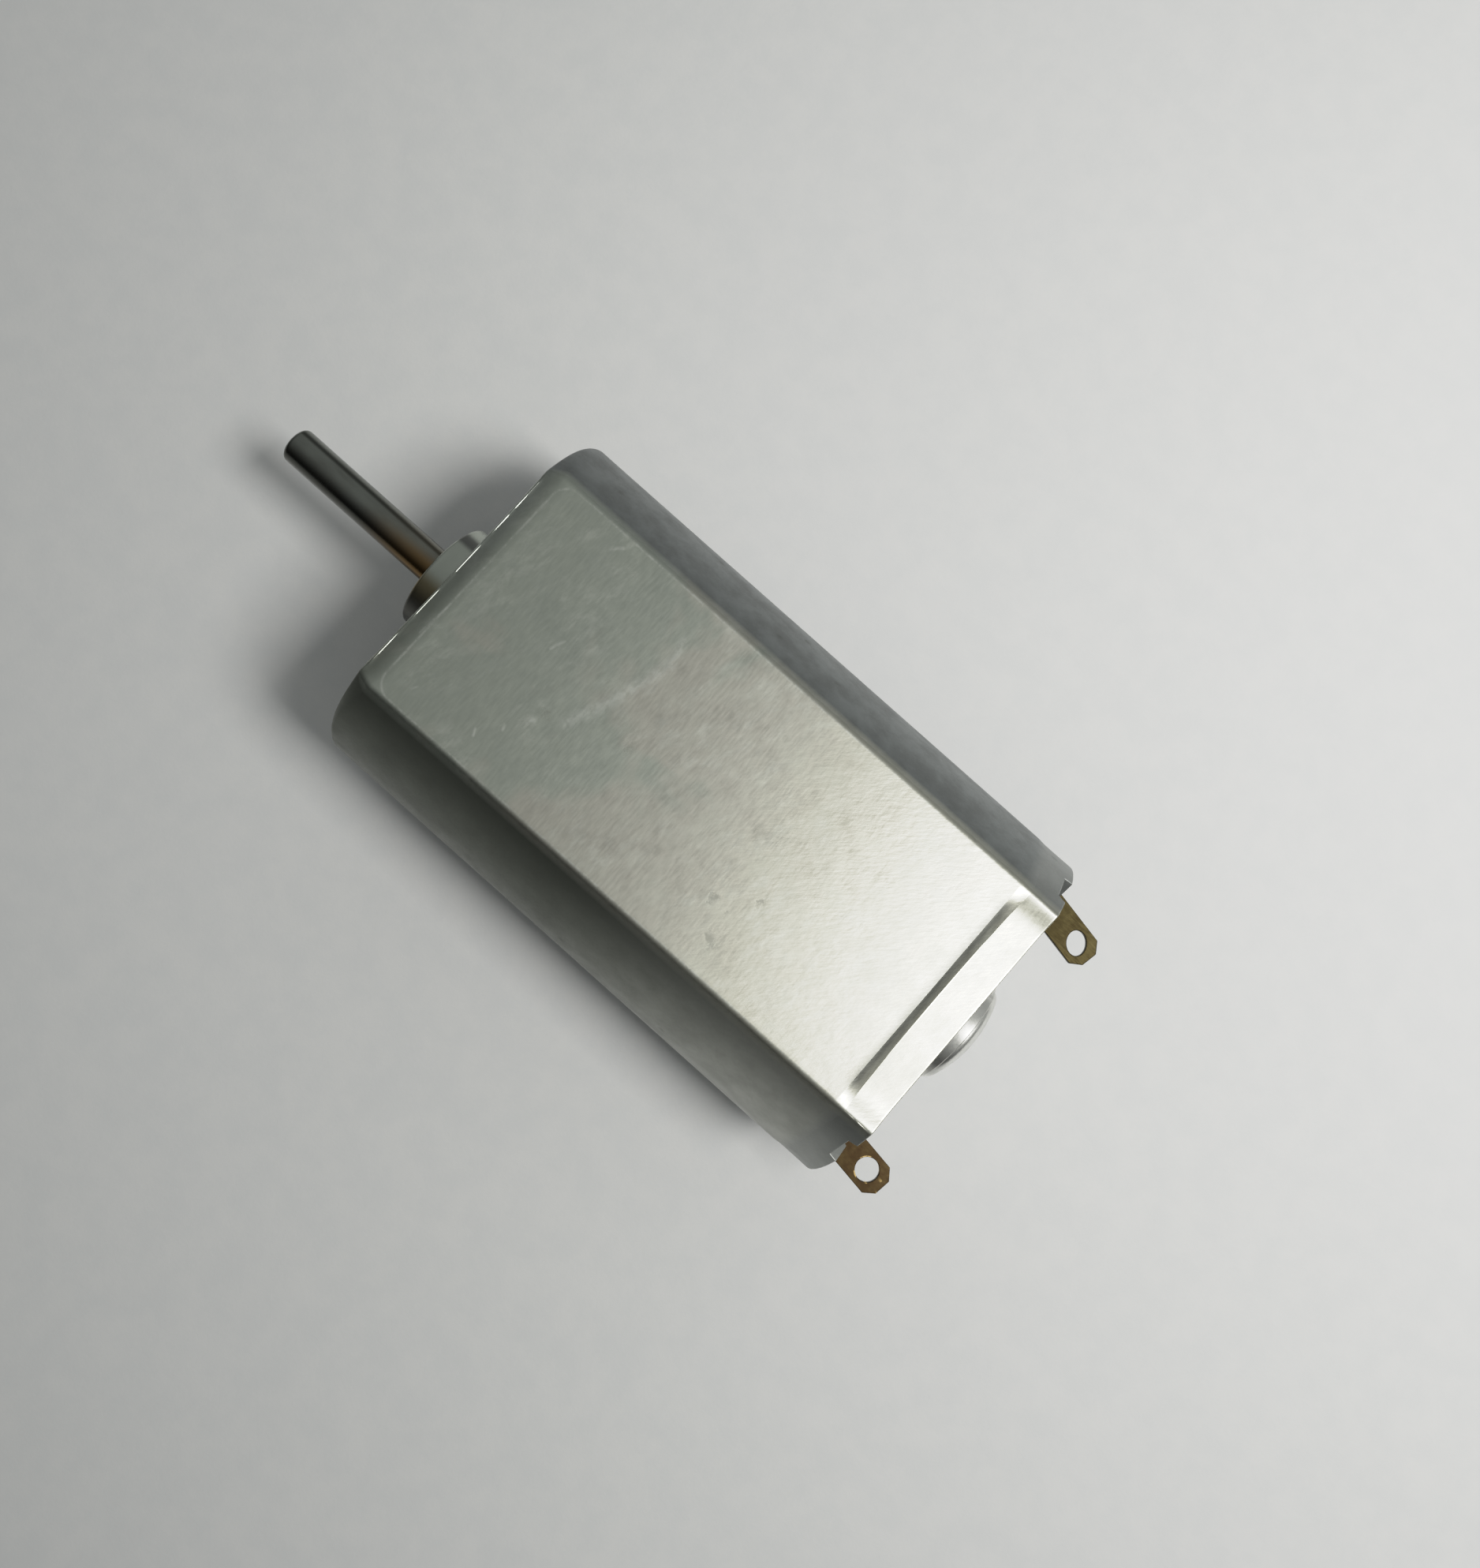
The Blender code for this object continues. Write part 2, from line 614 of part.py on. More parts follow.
def tab_hole(tab):
    """Points of the hole in a terminal, in the tab's own (along, across) frame."""
    tilt = math.radians(tab["tilt"])
    major, minor = tab["hole"]
    hole = []
    for a in even_angles(24):
        p = major * math.cos(a)
        q = minor * math.sin(a)
        along = p * math.cos(tilt) - q * math.sin(tilt)
        across = p * math.sin(tilt) + q * math.cos(tilt)
        hole.append((tab["hole_at"] + along, across))
    return hole


def build_terminal(name, tab):
    """Flat brass blade, straight inside the motor and slightly yawed outside."""
    half = 0.5 * TAB_WIDTH
    yaw = math.radians(tab["yaw"])

    def lay(along, across):
        if along < 0.0:
            return (TAB_BEND_X - along, tab["y"] + across)
        return (
            TAB_BEND_X - along * math.cos(yaw) + across * math.sin(yaw),
            tab["y"] + along * math.sin(yaw) + across * math.cos(yaw),
        )

    inner = TAB_BEND_X - TAB_INNER_X
    end = tab["length"]
    outline = [
        (inner, half),
        (-0.25, half),
        (0.25, half),
        (end - TAB_CHAMFER, half),
        (end, half - TAB_CHAMFER),
        (end, -half + TAB_CHAMFER),
        (end - TAB_CHAMFER, -half),
        (0.25, -half),
        (-0.25, -half),
        (inner, -half),
    ]
    loops = [[lay(a, b) for a, b in outline], [lay(a, b) for a, b in tab_hole(tab)]]
    bm = bmesh.new()
    plate(bm, loops, lambda x, y: (x, y, -0.5 * TAB_THICKNESS), (0.0, 0.0, TAB_THICKNESS))
    finish(bm, name, (0.55, 0.38, 0.13), 1.0, 0.3)


def build_spring(name, side):
    """Hairpin leaf spring that carries a brush."""
    half = 0.5 * SPRING_THICKNESS
    left = []
    right = []
    count = len(SPRING_PATH)
    for i, (y, z) in enumerate(SPRING_PATH):
        before = SPRING_PATH[max(i - 1, 0)]
        after = SPRING_PATH[min(i + 1, count - 1)]
        a = math.atan2(z - before[1], y - before[0]) if i else math.atan2(after[1] - z, after[0] - y)
        b = math.atan2(after[1] - z, after[0] - y) if i < count - 1 else a
        turn = math.atan2(math.sin(b - a), math.cos(b - a))
        direction = a + 0.5 * turn
        reach = half / math.cos(0.5 * turn)
        left.append((y - reach * math.sin(direction), z + reach * math.cos(direction)))
        right.append((y + reach * math.sin(direction), z - reach * math.cos(direction)))
    outline = [(side * y, side * z) for y, z in left + right[::-1]]
    bm = bmesh.new()
    plate(bm, [outline], lambda y, z: (SPRING_X[0], y, z), (SPRING_X[1] - SPRING_X[0], 0.0, 0.0))
    finish(bm, name, (0.7, 0.42, 0.2), 1.0, 0.3)


def build_brush(name, side):
    """Carbon block bearing on the commutator, with small chamfers on its sliding edges."""
    near, far = BRUSH_Y
    bevel = 0.12
    high = BRUSH_HALF_HEIGHT
    outline = [(near, -high + bevel), (near, high - bevel), (near + bevel, high)]
    outline += [(far, high), (far, -high), (near + bevel, -high)]
    outline = [(side * y, side * z) for y, z in outline]
    bm = bmesh.new()
    plate(bm, [outline], lambda y, z: (BRUSH_X[0], y, z), (BRUSH_X[1] - BRUSH_X[0], 0.0, 0.0))
    finish(bm, name, (0.04, 0.04, 0.04), 0.2, 0.55)


def build_shaft():
    """Ground steel shaft with a chamfer at both ends."""
    rear, tip = SHAFT_REAR_X, SHAFT_TIP_X
    small = SHAFT_RADIUS - SHAFT_CHAMFER
    profile = (
        (rear, small),
        (rear + SHAFT_CHAMFER, SHAFT_RADIUS),
        (tip - SHAFT_CHAMFER, SHAFT_RADIUS),
        (tip - 0.3 * SHAFT_CHAMFER, SHAFT_RADIUS - 0.3 * SHAFT_CHAMFER),
        (tip, small - 0.1),
    )
    finish(lathe(profile, ROUND_STEPS, False), "shaft", (0.7, 0.7, 0.7), 1.0, 0.18)


def build_hub():
    """Moulded commutator hub with a flange at the winding end."""
    rear, front = HUB_X
    bore = SHAFT_RADIUS + PRESS_GAP
    profile = (
        (rear, bore),
        (rear, HUB_RADIUS),
        (HUB_FLANGE_X[0], HUB_RADIUS),
        (HUB_FLANGE_X[0], HUB_FLANGE_RADIUS),
        (HUB_FLANGE_X[1], HUB_FLANGE_RADIUS),
        (HUB_FLANGE_X[1], HUB_RADIUS),
        (front, HUB_RADIUS),
        (front, bore),
    )
    finish(lathe(profile, ROUND_STEPS), "commutator_hub", (0.25, 0.12, 0.06), 0.0, 0.5)


def build_rounds():
    """Bushes, washers, spacer, suppressor ring and thrust pad."""
    shaft_fit = SHAFT_RADIUS + PRESS_GAP
    bronze = (0.5, 0.34, 0.17)
    nylon = (0.75, 0.7, 0.55)
    finish(tube(FRONT_BUSH_X, BUSH_BORE_RADIUS, FRONT_BUSH_RADIUS), "front_bush", bronze, 0.9, 0.45)
    finish(tube(REAR_BUSH_X, BUSH_BORE_RADIUS, REAR_BUSH_RADIUS), "rear_bush", bronze, 0.9, 0.45)
    finish(tube(FRONT_WASHER_X, shaft_fit, FRONT_WASHER_RADIUS), "front_washer", nylon, 0.0, 0.5)
    finish(tube(FRONT_SPACER_X, shaft_fit, FRONT_SPACER_RADIUS), "front_spacer", (0.6, 0.45, 0.2), 1.0, 0.35)
    finish(tube(REAR_WASHER_X, shaft_fit, REAR_WASHER_RADIUS), "rear_washer", nylon, 0.0, 0.5)
    finish(tube(VARISTOR_X, *VARISTOR_RADII), "varistor_ring", (0.12, 0.12, 0.13), 0.1, 0.5)
    pad_rear, pad_front = PAD_X
    edge = 0.06
    profile = (
        (pad_rear, PAD_RADIUS - edge),
        (pad_rear + edge, PAD_RADIUS),
        (pad_front - edge, PAD_RADIUS),
        (pad_front, PAD_RADIUS - edge),
    )
    finish(lathe(profile, ROUND_STEPS, False), "thrust_pad", (0.8, 0.8, 0.75), 0.0, 0.5)


def build_rotor_stack():
    """Steel laminations with an insulating end plate at each end."""
    build_stack("rotor_core", CORE_X, 0.0, (0.2, 0.2, 0.21), 0.9, 0.45)
    front = CORE_X[1] + PRESS_GAP
    rear = CORE_X[0] - PRESS_GAP
    build_stack("insulator_front", (front, front + INSULATOR_THICKNESS), 0.1, (0.6, 0.08, 0.06), 0.0, 0.6)
    build_stack("insulator_rear", (rear - INSULATOR_THICKNESS, rear), 0.1, (0.6, 0.08, 0.06), 0.0, 0.6)


def build_motor():
    """Every piece of the motor."""
    clear_scene()
    build_can()
    build_shaft()
    build_rotor_stack()
    build_hub()
    build_rounds()
    for index in range(POLE_COUNT):
        build_coil(f"coil_{index + 1}", index)
        build_bar(f"commutator_bar_{index + 1}", 2.0 * math.pi * (index + 0.5) / POLE_COUNT)
    build_magnet("magnet_left", 0.0)
    build_magnet("magnet_right", math.pi)
    build_clip()
    build_end_bell()
    build_rear_cap()
    build_terminal("terminal_left", TAB_LEFT)
    build_terminal("terminal_right", TAB_RIGHT)
    for label, side in (("left", 1), ("right", -1)):
        build_spring(f"brush_spring_{label}", side)
        build_brush(f"brush_{label}", side)


build_motor()
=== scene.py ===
"""Looks of the small flat-sided brushed DC motor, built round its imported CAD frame."""
import json
import math

import bmesh
import bpy
from mathutils import Matrix, Vector, noise


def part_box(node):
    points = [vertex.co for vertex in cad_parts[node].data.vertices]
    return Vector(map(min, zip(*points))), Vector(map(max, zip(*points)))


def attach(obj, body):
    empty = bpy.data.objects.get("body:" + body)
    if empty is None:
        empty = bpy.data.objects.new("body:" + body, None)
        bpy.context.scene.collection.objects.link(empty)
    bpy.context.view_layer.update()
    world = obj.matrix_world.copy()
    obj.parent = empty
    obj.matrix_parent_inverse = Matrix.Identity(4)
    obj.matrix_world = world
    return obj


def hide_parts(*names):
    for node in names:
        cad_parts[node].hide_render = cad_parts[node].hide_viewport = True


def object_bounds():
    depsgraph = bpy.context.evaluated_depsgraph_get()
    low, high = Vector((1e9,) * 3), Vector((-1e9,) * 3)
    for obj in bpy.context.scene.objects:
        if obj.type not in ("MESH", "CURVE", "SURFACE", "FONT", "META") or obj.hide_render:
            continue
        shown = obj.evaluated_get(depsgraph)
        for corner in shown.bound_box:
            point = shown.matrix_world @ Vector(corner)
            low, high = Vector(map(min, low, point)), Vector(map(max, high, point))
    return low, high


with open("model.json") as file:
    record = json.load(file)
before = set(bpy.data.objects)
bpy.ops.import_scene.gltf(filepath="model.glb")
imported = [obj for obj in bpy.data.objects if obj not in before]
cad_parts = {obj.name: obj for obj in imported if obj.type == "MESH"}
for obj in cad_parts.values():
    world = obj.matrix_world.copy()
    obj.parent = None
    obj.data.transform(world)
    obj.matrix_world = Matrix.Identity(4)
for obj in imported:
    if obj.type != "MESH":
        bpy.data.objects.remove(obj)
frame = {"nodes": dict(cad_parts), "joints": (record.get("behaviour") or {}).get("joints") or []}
CAD_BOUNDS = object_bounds()

MM = 0.001
FRONT = Vector(frame["joints"][0]["pos_m"])  # centre of the can's front face, on the shaft axis


def local_box(node):
    """A CAD node's lowest and highest corners in millimetres from the front face's centre."""
    low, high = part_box(node)
    return (Vector(low) - FRONT) / MM, (Vector(high) - FRONT) / MM


# Sizes in millimetres, measured from the front face's centre: +X along the shaft.
CAN_HIGH = local_box("can")[1]
BELL_LOW, BELL_HIGH = local_box("end_bell")
CAP_LOW, CAP_HIGH = local_box("rear_cap")
SHAFT_LOW, SHAFT_HIGH = local_box("shaft")

CAN_RADIUS = CAN_HIGH.y
CAN_HALF_HEIGHT = CAN_HIGH.z
CAN_LENGTH = 32.1
CAN_WALL = 0.8
EDGE_Y = math.sqrt(CAN_RADIUS ** 2 - CAN_HALF_HEIGHT ** 2)
CAN_BEND = 0.5
INNER_BEND = 0.15
INNER_FILLET = 0.6
FLAT_MARGIN = 0.1
CORNER_REACH = 0.85
CORNER_FADE = 1.5
DENT_WIDE = (0.16, 0.012)
DENT_SMALL = (0.6, 0.003)

FRONT_SLOPE_LENGTH = 1.25
FRONT_SLOPE_SHARE = 0.62
FRONT_SLOPE_POWER = 1.2
FRONT_TURN_TIGHT = 0.36
FRONT_TURN_REACH = 0.08
FRONT_TURN_POWER = 1.5
FLAT_CORNER = 0.9
FRONT_EDGE_BACK = 0.28
FRONT_EDGE_DROP = 0.36
FRONT_FACE_DROP = 1.35
FRONT_SIDE_FILLET = 0.25
FILLET_CHANGE_Y = (6.0, 9.5)
BURR_HEIGHT = 0.027
BURR_REACH_Y = 6.1
BURR_START = 0.583
BURR_RINGS = ((0.602, 1.0), (0.612, 0.9), (FRONT_SLOPE_SHARE, 0.0))

RIM_ROUND = 0.06
RING_GAP = 0.05
BAND_LENGTH = 1.8
BAND_DEPTH = 0.28
BAND_CORNER_DEPTH = 0.05
BAND_SIDE_DEPTH = 0.04
BAND_RAMP = 0.48
BAND_RAMP_POWER = 1.08
BAND_BOW = 0.14
NOTCH_DEG = (31.0, 42.0)
NOTCH_WALL_DEG = 0.35
NOTCH_DEPTH = 0.45
CRIMP_LIP = 0.25
CRIMP_THICKNESS = 0.25

BOSS_RADIUS = 3.075
BOSS_HEIGHT = CAN_HIGH.x
BOSS_FILLET = 0.12
BOSS_EDGE = 0.18
BOSS_LIP = 0.4
BOSS_LIP_RADIUS = 1.7
BOSS_LIP_EDGE = 0.08
BOSS_BORE_RADIUS = 2.43
BUSH_BORE_RADIUS = 1.04
BUSH_CHAMFER = 0.12
SCREW_SPACING = 12.0
SCREW_ROOT_RADIUS = 0.8
SCREW_THREAD_DEPTH = 0.16
SCREW_PITCH = 0.4

TAB_THICKNESS = 0.3
TAB_WIDTH = 1.9
TAB_INNER_X = -25.9
TAB_BEND_X = -32.6
TAB_CHAMFER = 0.5
TAB_BEVEL = 0.045
TAB_LEFT = {
    "y": 7.97,
    "yaw": 8.0,
    "length": 3.15,
    "hole_at": 1.96,
    "hole": (0.63, 0.63),
    "tilt": 0.0,
    "wear": 0.8,
    # Brass tones painted very dark: tarnish, and painted shade for the blade's dark reflections.
    "shaded_tones": ((0.030, 0.019, 0.0095), (0.044, 0.031, 0.0145)),
}
TAB_RIGHT = {
    "y": -8.08,
    "yaw": 11.0,
    "length": 3.72,
    "hole_at": 2.64,
    "hole": (0.66, 0.52),
    "tilt": 42.0,
    "wear": 0.0,
    # Painted shade: the right blade's tones are darker than the left's.
    "shaded_tones": ((0.021, 0.0165, 0.0075), (0.030, 0.0245, 0.011)),
}

SIDE_STEPS = 24
NOTCH_STEPS = 6
SHOULDER_STEPS = 4
SHOULDER_MIN_DEG = 3.0
FLAT_HALF_STEPS = 44
BEND_STEPS = 9
ROUND_STEPS = 96
HOLE_STEPS = 48


def place_mesh(bm, name):
    """Link an object made from a millimetre mesh, set at the front face's centre."""
    bmesh.ops.recalc_face_normals(bm, faces=bm.faces)
    bmesh.ops.transform(bm, matrix=Matrix.Translation(FRONT) @ Matrix.Scale(MM, 4), verts=bm.verts)
    mesh = bpy.data.meshes.new(name)
    bm.to_mesh(mesh)
    bm.free()
    piece = bpy.data.objects.new(name, mesh)
    bpy.context.scene.collection.objects.link(piece)
    return piece


def finish_piece(bm, name, node, body, material, smooth_deg=30.0, bevel=0.0):
    """Turn a millimetre mesh into a shaded piece that stands for a CAD node."""
    piece = place_mesh(bm, name)
    for face in piece.data.polygons:
        face.use_smooth = True
    piece.data.set_sharp_from_angle(angle=math.radians(smooth_deg))
    piece.data.materials.append(material)
    if bevel:
        edge = piece.modifiers.new("edge_rounding", "BEVEL")
        edge.width = bevel * MM
        edge.segments = 3
        edge.limit_method = "ANGLE"
        edge.angle_limit = math.radians(40.0)
        edge.use_clamp_overlap = True
        edge.harden_normals = False
    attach(piece, body)
    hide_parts(node)
    return piece


# Marks on the upper flat: soft dark pits (x, y, radius) and rubbed strokes (from x, y to x, y, width).
PITS = (
    (-19.41, 3.48, 0.35),
    (-20.36, 3.51, 0.35),
    (-20.6, 4.99, 0.45),
    (-21.28, 1.97, 0.3),
    (-8.0, 2.1, 0.5),
    (-11.9, 0.9, 0.4),
)
RUBS = (
    (-9.0, 1.9, -10.07, -0.86, 0.5),
    (-10.07, -0.86, -10.76, -3.39, 0.5),
    (-10.76, -3.39, -10.5, -4.6, 0.3),
    (-7.6, 2.95, -7.72, 2.8, 0.3),
    (-7.04, 4.1, -6.95, 3.85, 0.12),
    (-6.2, 5.2, -6.05, 4.9, 0.1),
    (-1.1, 3.3, -1.25, 1.6, 0.1),
    (-5.0, -5.6, -5.4, -6.0, 0.16),
    (-6.1, -0.2, -6.35, -0.9, 0.12),
    (-2.6, 5.5, -2.75, 5.2, 0.1),
)

# Tints of the plated steel, painted shade and highlights among them, and where along X or Y each one comes
# in.
GREENISH = (0.425, 0.457, 0.40)
GREY = (0.51, 0.50, 0.437)
# Painted highlight: the cream tint below lightens and warms the rear of the flats, where the lamp's highlight
# falls.
HIGHLIGHT_CREAM = (0.57, 0.563, 0.478)
MOTTLE = (0.285, 0.305, 0.262)
SCUFF = (0.62, 0.64, 0.575)
# The side and olive tints below are painted shade: the curved walls darker than the flats, the +Y wall darker
# and more olive, most at its front.
SHADED_SIDE_TINTS = ((0.20, 0.215, 0.214), (0.165, 0.175, 0.173))
SHADED_OLIVE_TINTS = ((0.42, 0.426, 0.392), (0.132, 0.141, 0.120))
OLIVE_MOTTLE = (0.125, 0.132, 0.115)
REAR_SIDE = (0.29, 0.30, 0.29)
# Boss tints below: its own greenish grey, a painted brown reflection of the shaft, and painted shade at its
# +Y end; the next two lines give a dark patch of painted shade on its -Y side and its Y.
BOSS_TINTS_WITH_REFLECTION_AND_SHADE = ((0.42, 0.45, 0.40), (0.27, 0.235, 0.15), (0.085, 0.085, 0.075))
BOSS_SHADE_PATCH = (0.16, 0.165, 0.155)
BOSS_SHADE_PATCH_Y = -1.95
PIT_TINT = (0.13, 0.135, 0.12)
# Painted shade along the rear band's step, centred on the X below.
STEP_SHADE_TINT = (0.20, 0.205, 0.19)
STEP_SHADE_X = -CAN_LENGTH + BAND_LENGTH + 0.9 * BAND_RAMP
RUB_TINT = (0.72, 0.74, 0.68)
# A lighter line round the flats' outline: partly worn edge, partly painted highlight.
RIM_WEAR_AND_HIGHLIGHT = (0.70, 0.72, 0.66)
DRAWN_X = (-18.0, -6.0)
HIGHLIGHT_CREAM_X = (-14.0, -24.0)
OLIVE_X = (-30.0, -12.0)
REAR_SIDE_X = (-29.6, -30.5)
BAND_X = (-29.6, -29.9)
SLOPE_X = (-1.6, -1.2)
RIPPLE_X = (-24.0, -14.0)
MOTTLE_RANGE = (0.35, 0.68)

# Tints of the shaft, painted shade for its +Y flank, and a painted dark reflection line with its Y.
SHAFT_TINTS = ((0.205, 0.216, 0.196), (0.160, 0.166, 0.150))
SHAFT_SHADED_FLANK = (0.055, 0.052, 0.045)
SHAFT_DARK_REFLECTION = (0.045, 0.047, 0.04)
SHAFT_DARK_REFLECTION_Y = -0.66
OILED_BROWN = (0.20, 0.115, 0.035)
RUBBED_BRASS = (0.78, 0.55, 0.22)

FLOW_DEPTH = 0.004
WIRE_PITCH = 0.27
LAMINATIONS_PER_MM = 2.0

# ---------------------------------------------------------------- shader helpers


class Shader:
    """A small node-tree writer for one Principled material in millimetre coordinates."""

    def __init__(self, name):
        self.material = bpy.data.materials.new(name)
        self.material.use_nodes = True
        self.tree = self.material.node_tree
        self.surface = self.tree.nodes["Principled BSDF"]
        coordinates = self.tree.nodes.new("ShaderNodeTexCoord")
        scale = self.tree.nodes.new("ShaderNodeMapping")
        scale.vector_type = "POINT"
        scale.inputs["Location"].default_value = (-FRONT / MM)
        scale.inputs["Scale"].default_value = (1.0 / MM, 1.0 / MM, 1.0 / MM)
        self.link(coordinates.outputs["Object"], scale.inputs["Vector"])
        self.place = scale.outputs["Vector"]

    def link(self, source, target):
        """Join two sockets."""
        self.tree.links.new(source, target)

    def stretch(self, factors, turn_deg=(0.0, 0.0, 0.0)):
        """The millimetre coordinates, scaled along their axes and then turned."""
        node = self.tree.nodes.new("ShaderNodeMapping")
        node.inputs["Rotation"].default_value = [math.radians(v) for v in turn_deg]
        node.inputs["Scale"].default_value = factors
        self.link(self.place, node.inputs["Vector"])
        return node.outputs["Vector"]

    def strokes(self, heading_deg, along, across):
        """The millimetre coordinates, stretched so that features run along a heading in the X-Y plane."""
        node = self.tree.nodes.new("ShaderNodeMapping")
        node.vector_type = "TEXTURE"
        node.inputs["Rotation"].default_value = (0.0, 0.0, math.radians(heading_deg))
        node.inputs["Scale"].default_value = (1.0 / along, 1.0 / across, 1.0 / across)
        self.link(self.place, node.inputs["Vector"])
        return node.outputs["Vector"]

    def noise(self, scale, detail=4.0, roughness=0.5, vector=None, distortion=0.0):
        """Fractal noise; scale is in features per millimetre."""
        node = self.tree.nodes.new("ShaderNodeTexNoise")
        node.inputs["Scale"].default_value = scale
        node.inputs["Detail"].default_value = detail
        node.inputs["Roughness"].default_value = roughness
        node.inputs["Distortion"].default_value = distortion
        self.link(vector or self.place, node.inputs["Vector"])
        return node.outputs["Fac"]

    def cells(self, scale):
        """Distance to scattered points."""
        node = self.tree.nodes.new("ShaderNodeTexVoronoi")
        node.inputs["Scale"].default_value = scale
        self.link(self.place, node.inputs["Vector"])
        return node.outputs["Distance"]

    def remap(self, value, low, high, to_low=0.0, to_high=1.0, smooth=True):
        """Clamp and rescale a value."""
        node = self.tree.nodes.new("ShaderNodeMapRange")
        node.interpolation_type = "SMOOTHSTEP" if smooth else "LINEAR"
        self.link(value, node.inputs["Value"])
        node.inputs["From Min"].default_value = low
        node.inputs["From Max"].default_value = high
        node.inputs["To Min"].default_value = to_low
        node.inputs["To Max"].default_value = to_high
        return node.outputs["Result"]

    def math(self, operation, first, second=0.0):
        """Arithmetic on sockets or numbers."""
        node = self.tree.nodes.new("ShaderNodeMath")
        node.operation = operation
        for socket, value in zip(node.inputs, (first, second)):
            if isinstance(value, (int, float)):
                socket.default_value = value
            else:
                self.link(value, socket)
        return node.outputs["Value"]

    def axis(self, name):
        """One coordinate in millimetres."""
        node = self.tree.nodes.new("ShaderNodeSeparateXYZ")
        self.link(self.place, node.inputs["Vector"])
        return node.outputs[name]

    def plus(self, first, second):
        """Sum."""
        return self.math("ADD", first, second)

    def minus(self, first, second):
        """Difference."""
        return self.math("SUBTRACT", first, second)

    def times(self, first, second):
        """Product."""
        return self.math("MULTIPLY", first, second)

    def most(self, first, second):
        """The larger of two values."""
        return self.math("MAXIMUM", first, second)

    def size(self, value):
        """A value without its sign."""
        return self.math("ABSOLUTE", value)

    def length(self, first, second):
        """Length of a two-part vector."""
        return self.math("SQRT", self.plus(self.times(first, first), self.times(second, second)))

    def blend(self, factor, first, second):
        """Mix two colours, each a socket or a triple, by a socket's value."""
        node = self.tree.nodes.new("ShaderNodeMix")
        node.data_type = "RGBA"
        node.clamp_factor = True
        self.link(factor, node.inputs["Factor"])
        for socket, value in ((node.inputs[6], first), (node.inputs[7], second)):
            if isinstance(value, (tuple, list)):
                socket.default_value = (*value, 1.0)
            else:
                self.link(value, socket)
        return node.outputs[2]

    def bump(self, height, depth_mm, below=None):
        """Raise the surface by a height field of the given depth."""
        node = self.tree.nodes.new("ShaderNodeBump")
        node.inputs["Strength"].default_value = 1.0
        node.inputs["Distance"].default_value = depth_mm * MM
        self.link(height, node.inputs["Height"])
        if below is not None:
            self.link(below, node.inputs["Normal"])
        return node.outputs["Normal"]

    def spot(self, x, y, radius, ragged):
        """1 at a point of the X-Y plane, falling to 0 at the radius, with a ragged outline."""
        away = self.length(self.minus(self.axis("X"), x), self.minus(self.axis("Y"), y))
        return self.remap(self.plus(away, ragged), 0.0, radius, 1.0, 0.0)

    def stroke(self, x0, y0, x1, y1, width):
        """1 along a straight stroke in the X-Y plane, falling to 0 at its width."""
        length = math.hypot(x1 - x0, y1 - y0)
        ux = (x1 - x0) / length
        uy = (y1 - y0) / length
        dx = self.minus(self.axis("X"), x0)
        dy = self.minus(self.axis("Y"), y0)
        along = self.plus(self.times(dx, ux), self.times(dy, uy))
        inside = self.math("MINIMUM", self.most(along, 0.0), length)
        away = self.length(self.minus(dx, self.times(inside, ux)), self.minus(dy, self.times(inside, uy)))
        return self.remap(away, 0.0, width, 1.0, 0.0)

    def flat_rim(self, width):
        """1 along the outline of the flats, whose front corners are rounded, falling to 0 at the width."""
        over_x = self.minus(self.axis("X"), -FRONT_SLOPE_LENGTH - FLAT_CORNER)
        over_y = self.minus(self.size(self.axis("Y")), EDGE_Y - 0.12 - FLAT_CORNER)
        reach = self.length(self.most(over_x, 0.0), self.most(over_y, 0.0))
        return self.remap(self.size(self.minus(reach, FLAT_CORNER)), 0.0, width, 1.0, 0.0)

    def finish(self, colour, roughness, normal, metallic=0.0, **settings):
        """Connect the results and return the material; the roughness is a socket or a number."""
        self.link(colour, self.surface.inputs["Base Color"])
        self.link(normal, self.surface.inputs["Normal"])
        if isinstance(roughness, float):
            self.surface.inputs["Roughness"].default_value = roughness
        else:
            self.link(roughness, self.surface.inputs["Roughness"])
        self.surface.inputs["Metallic"].default_value = metallic
        for socket, value in settings.items():
            self.surface.inputs[socket.replace("_", " ")].default_value = value
        return self.material


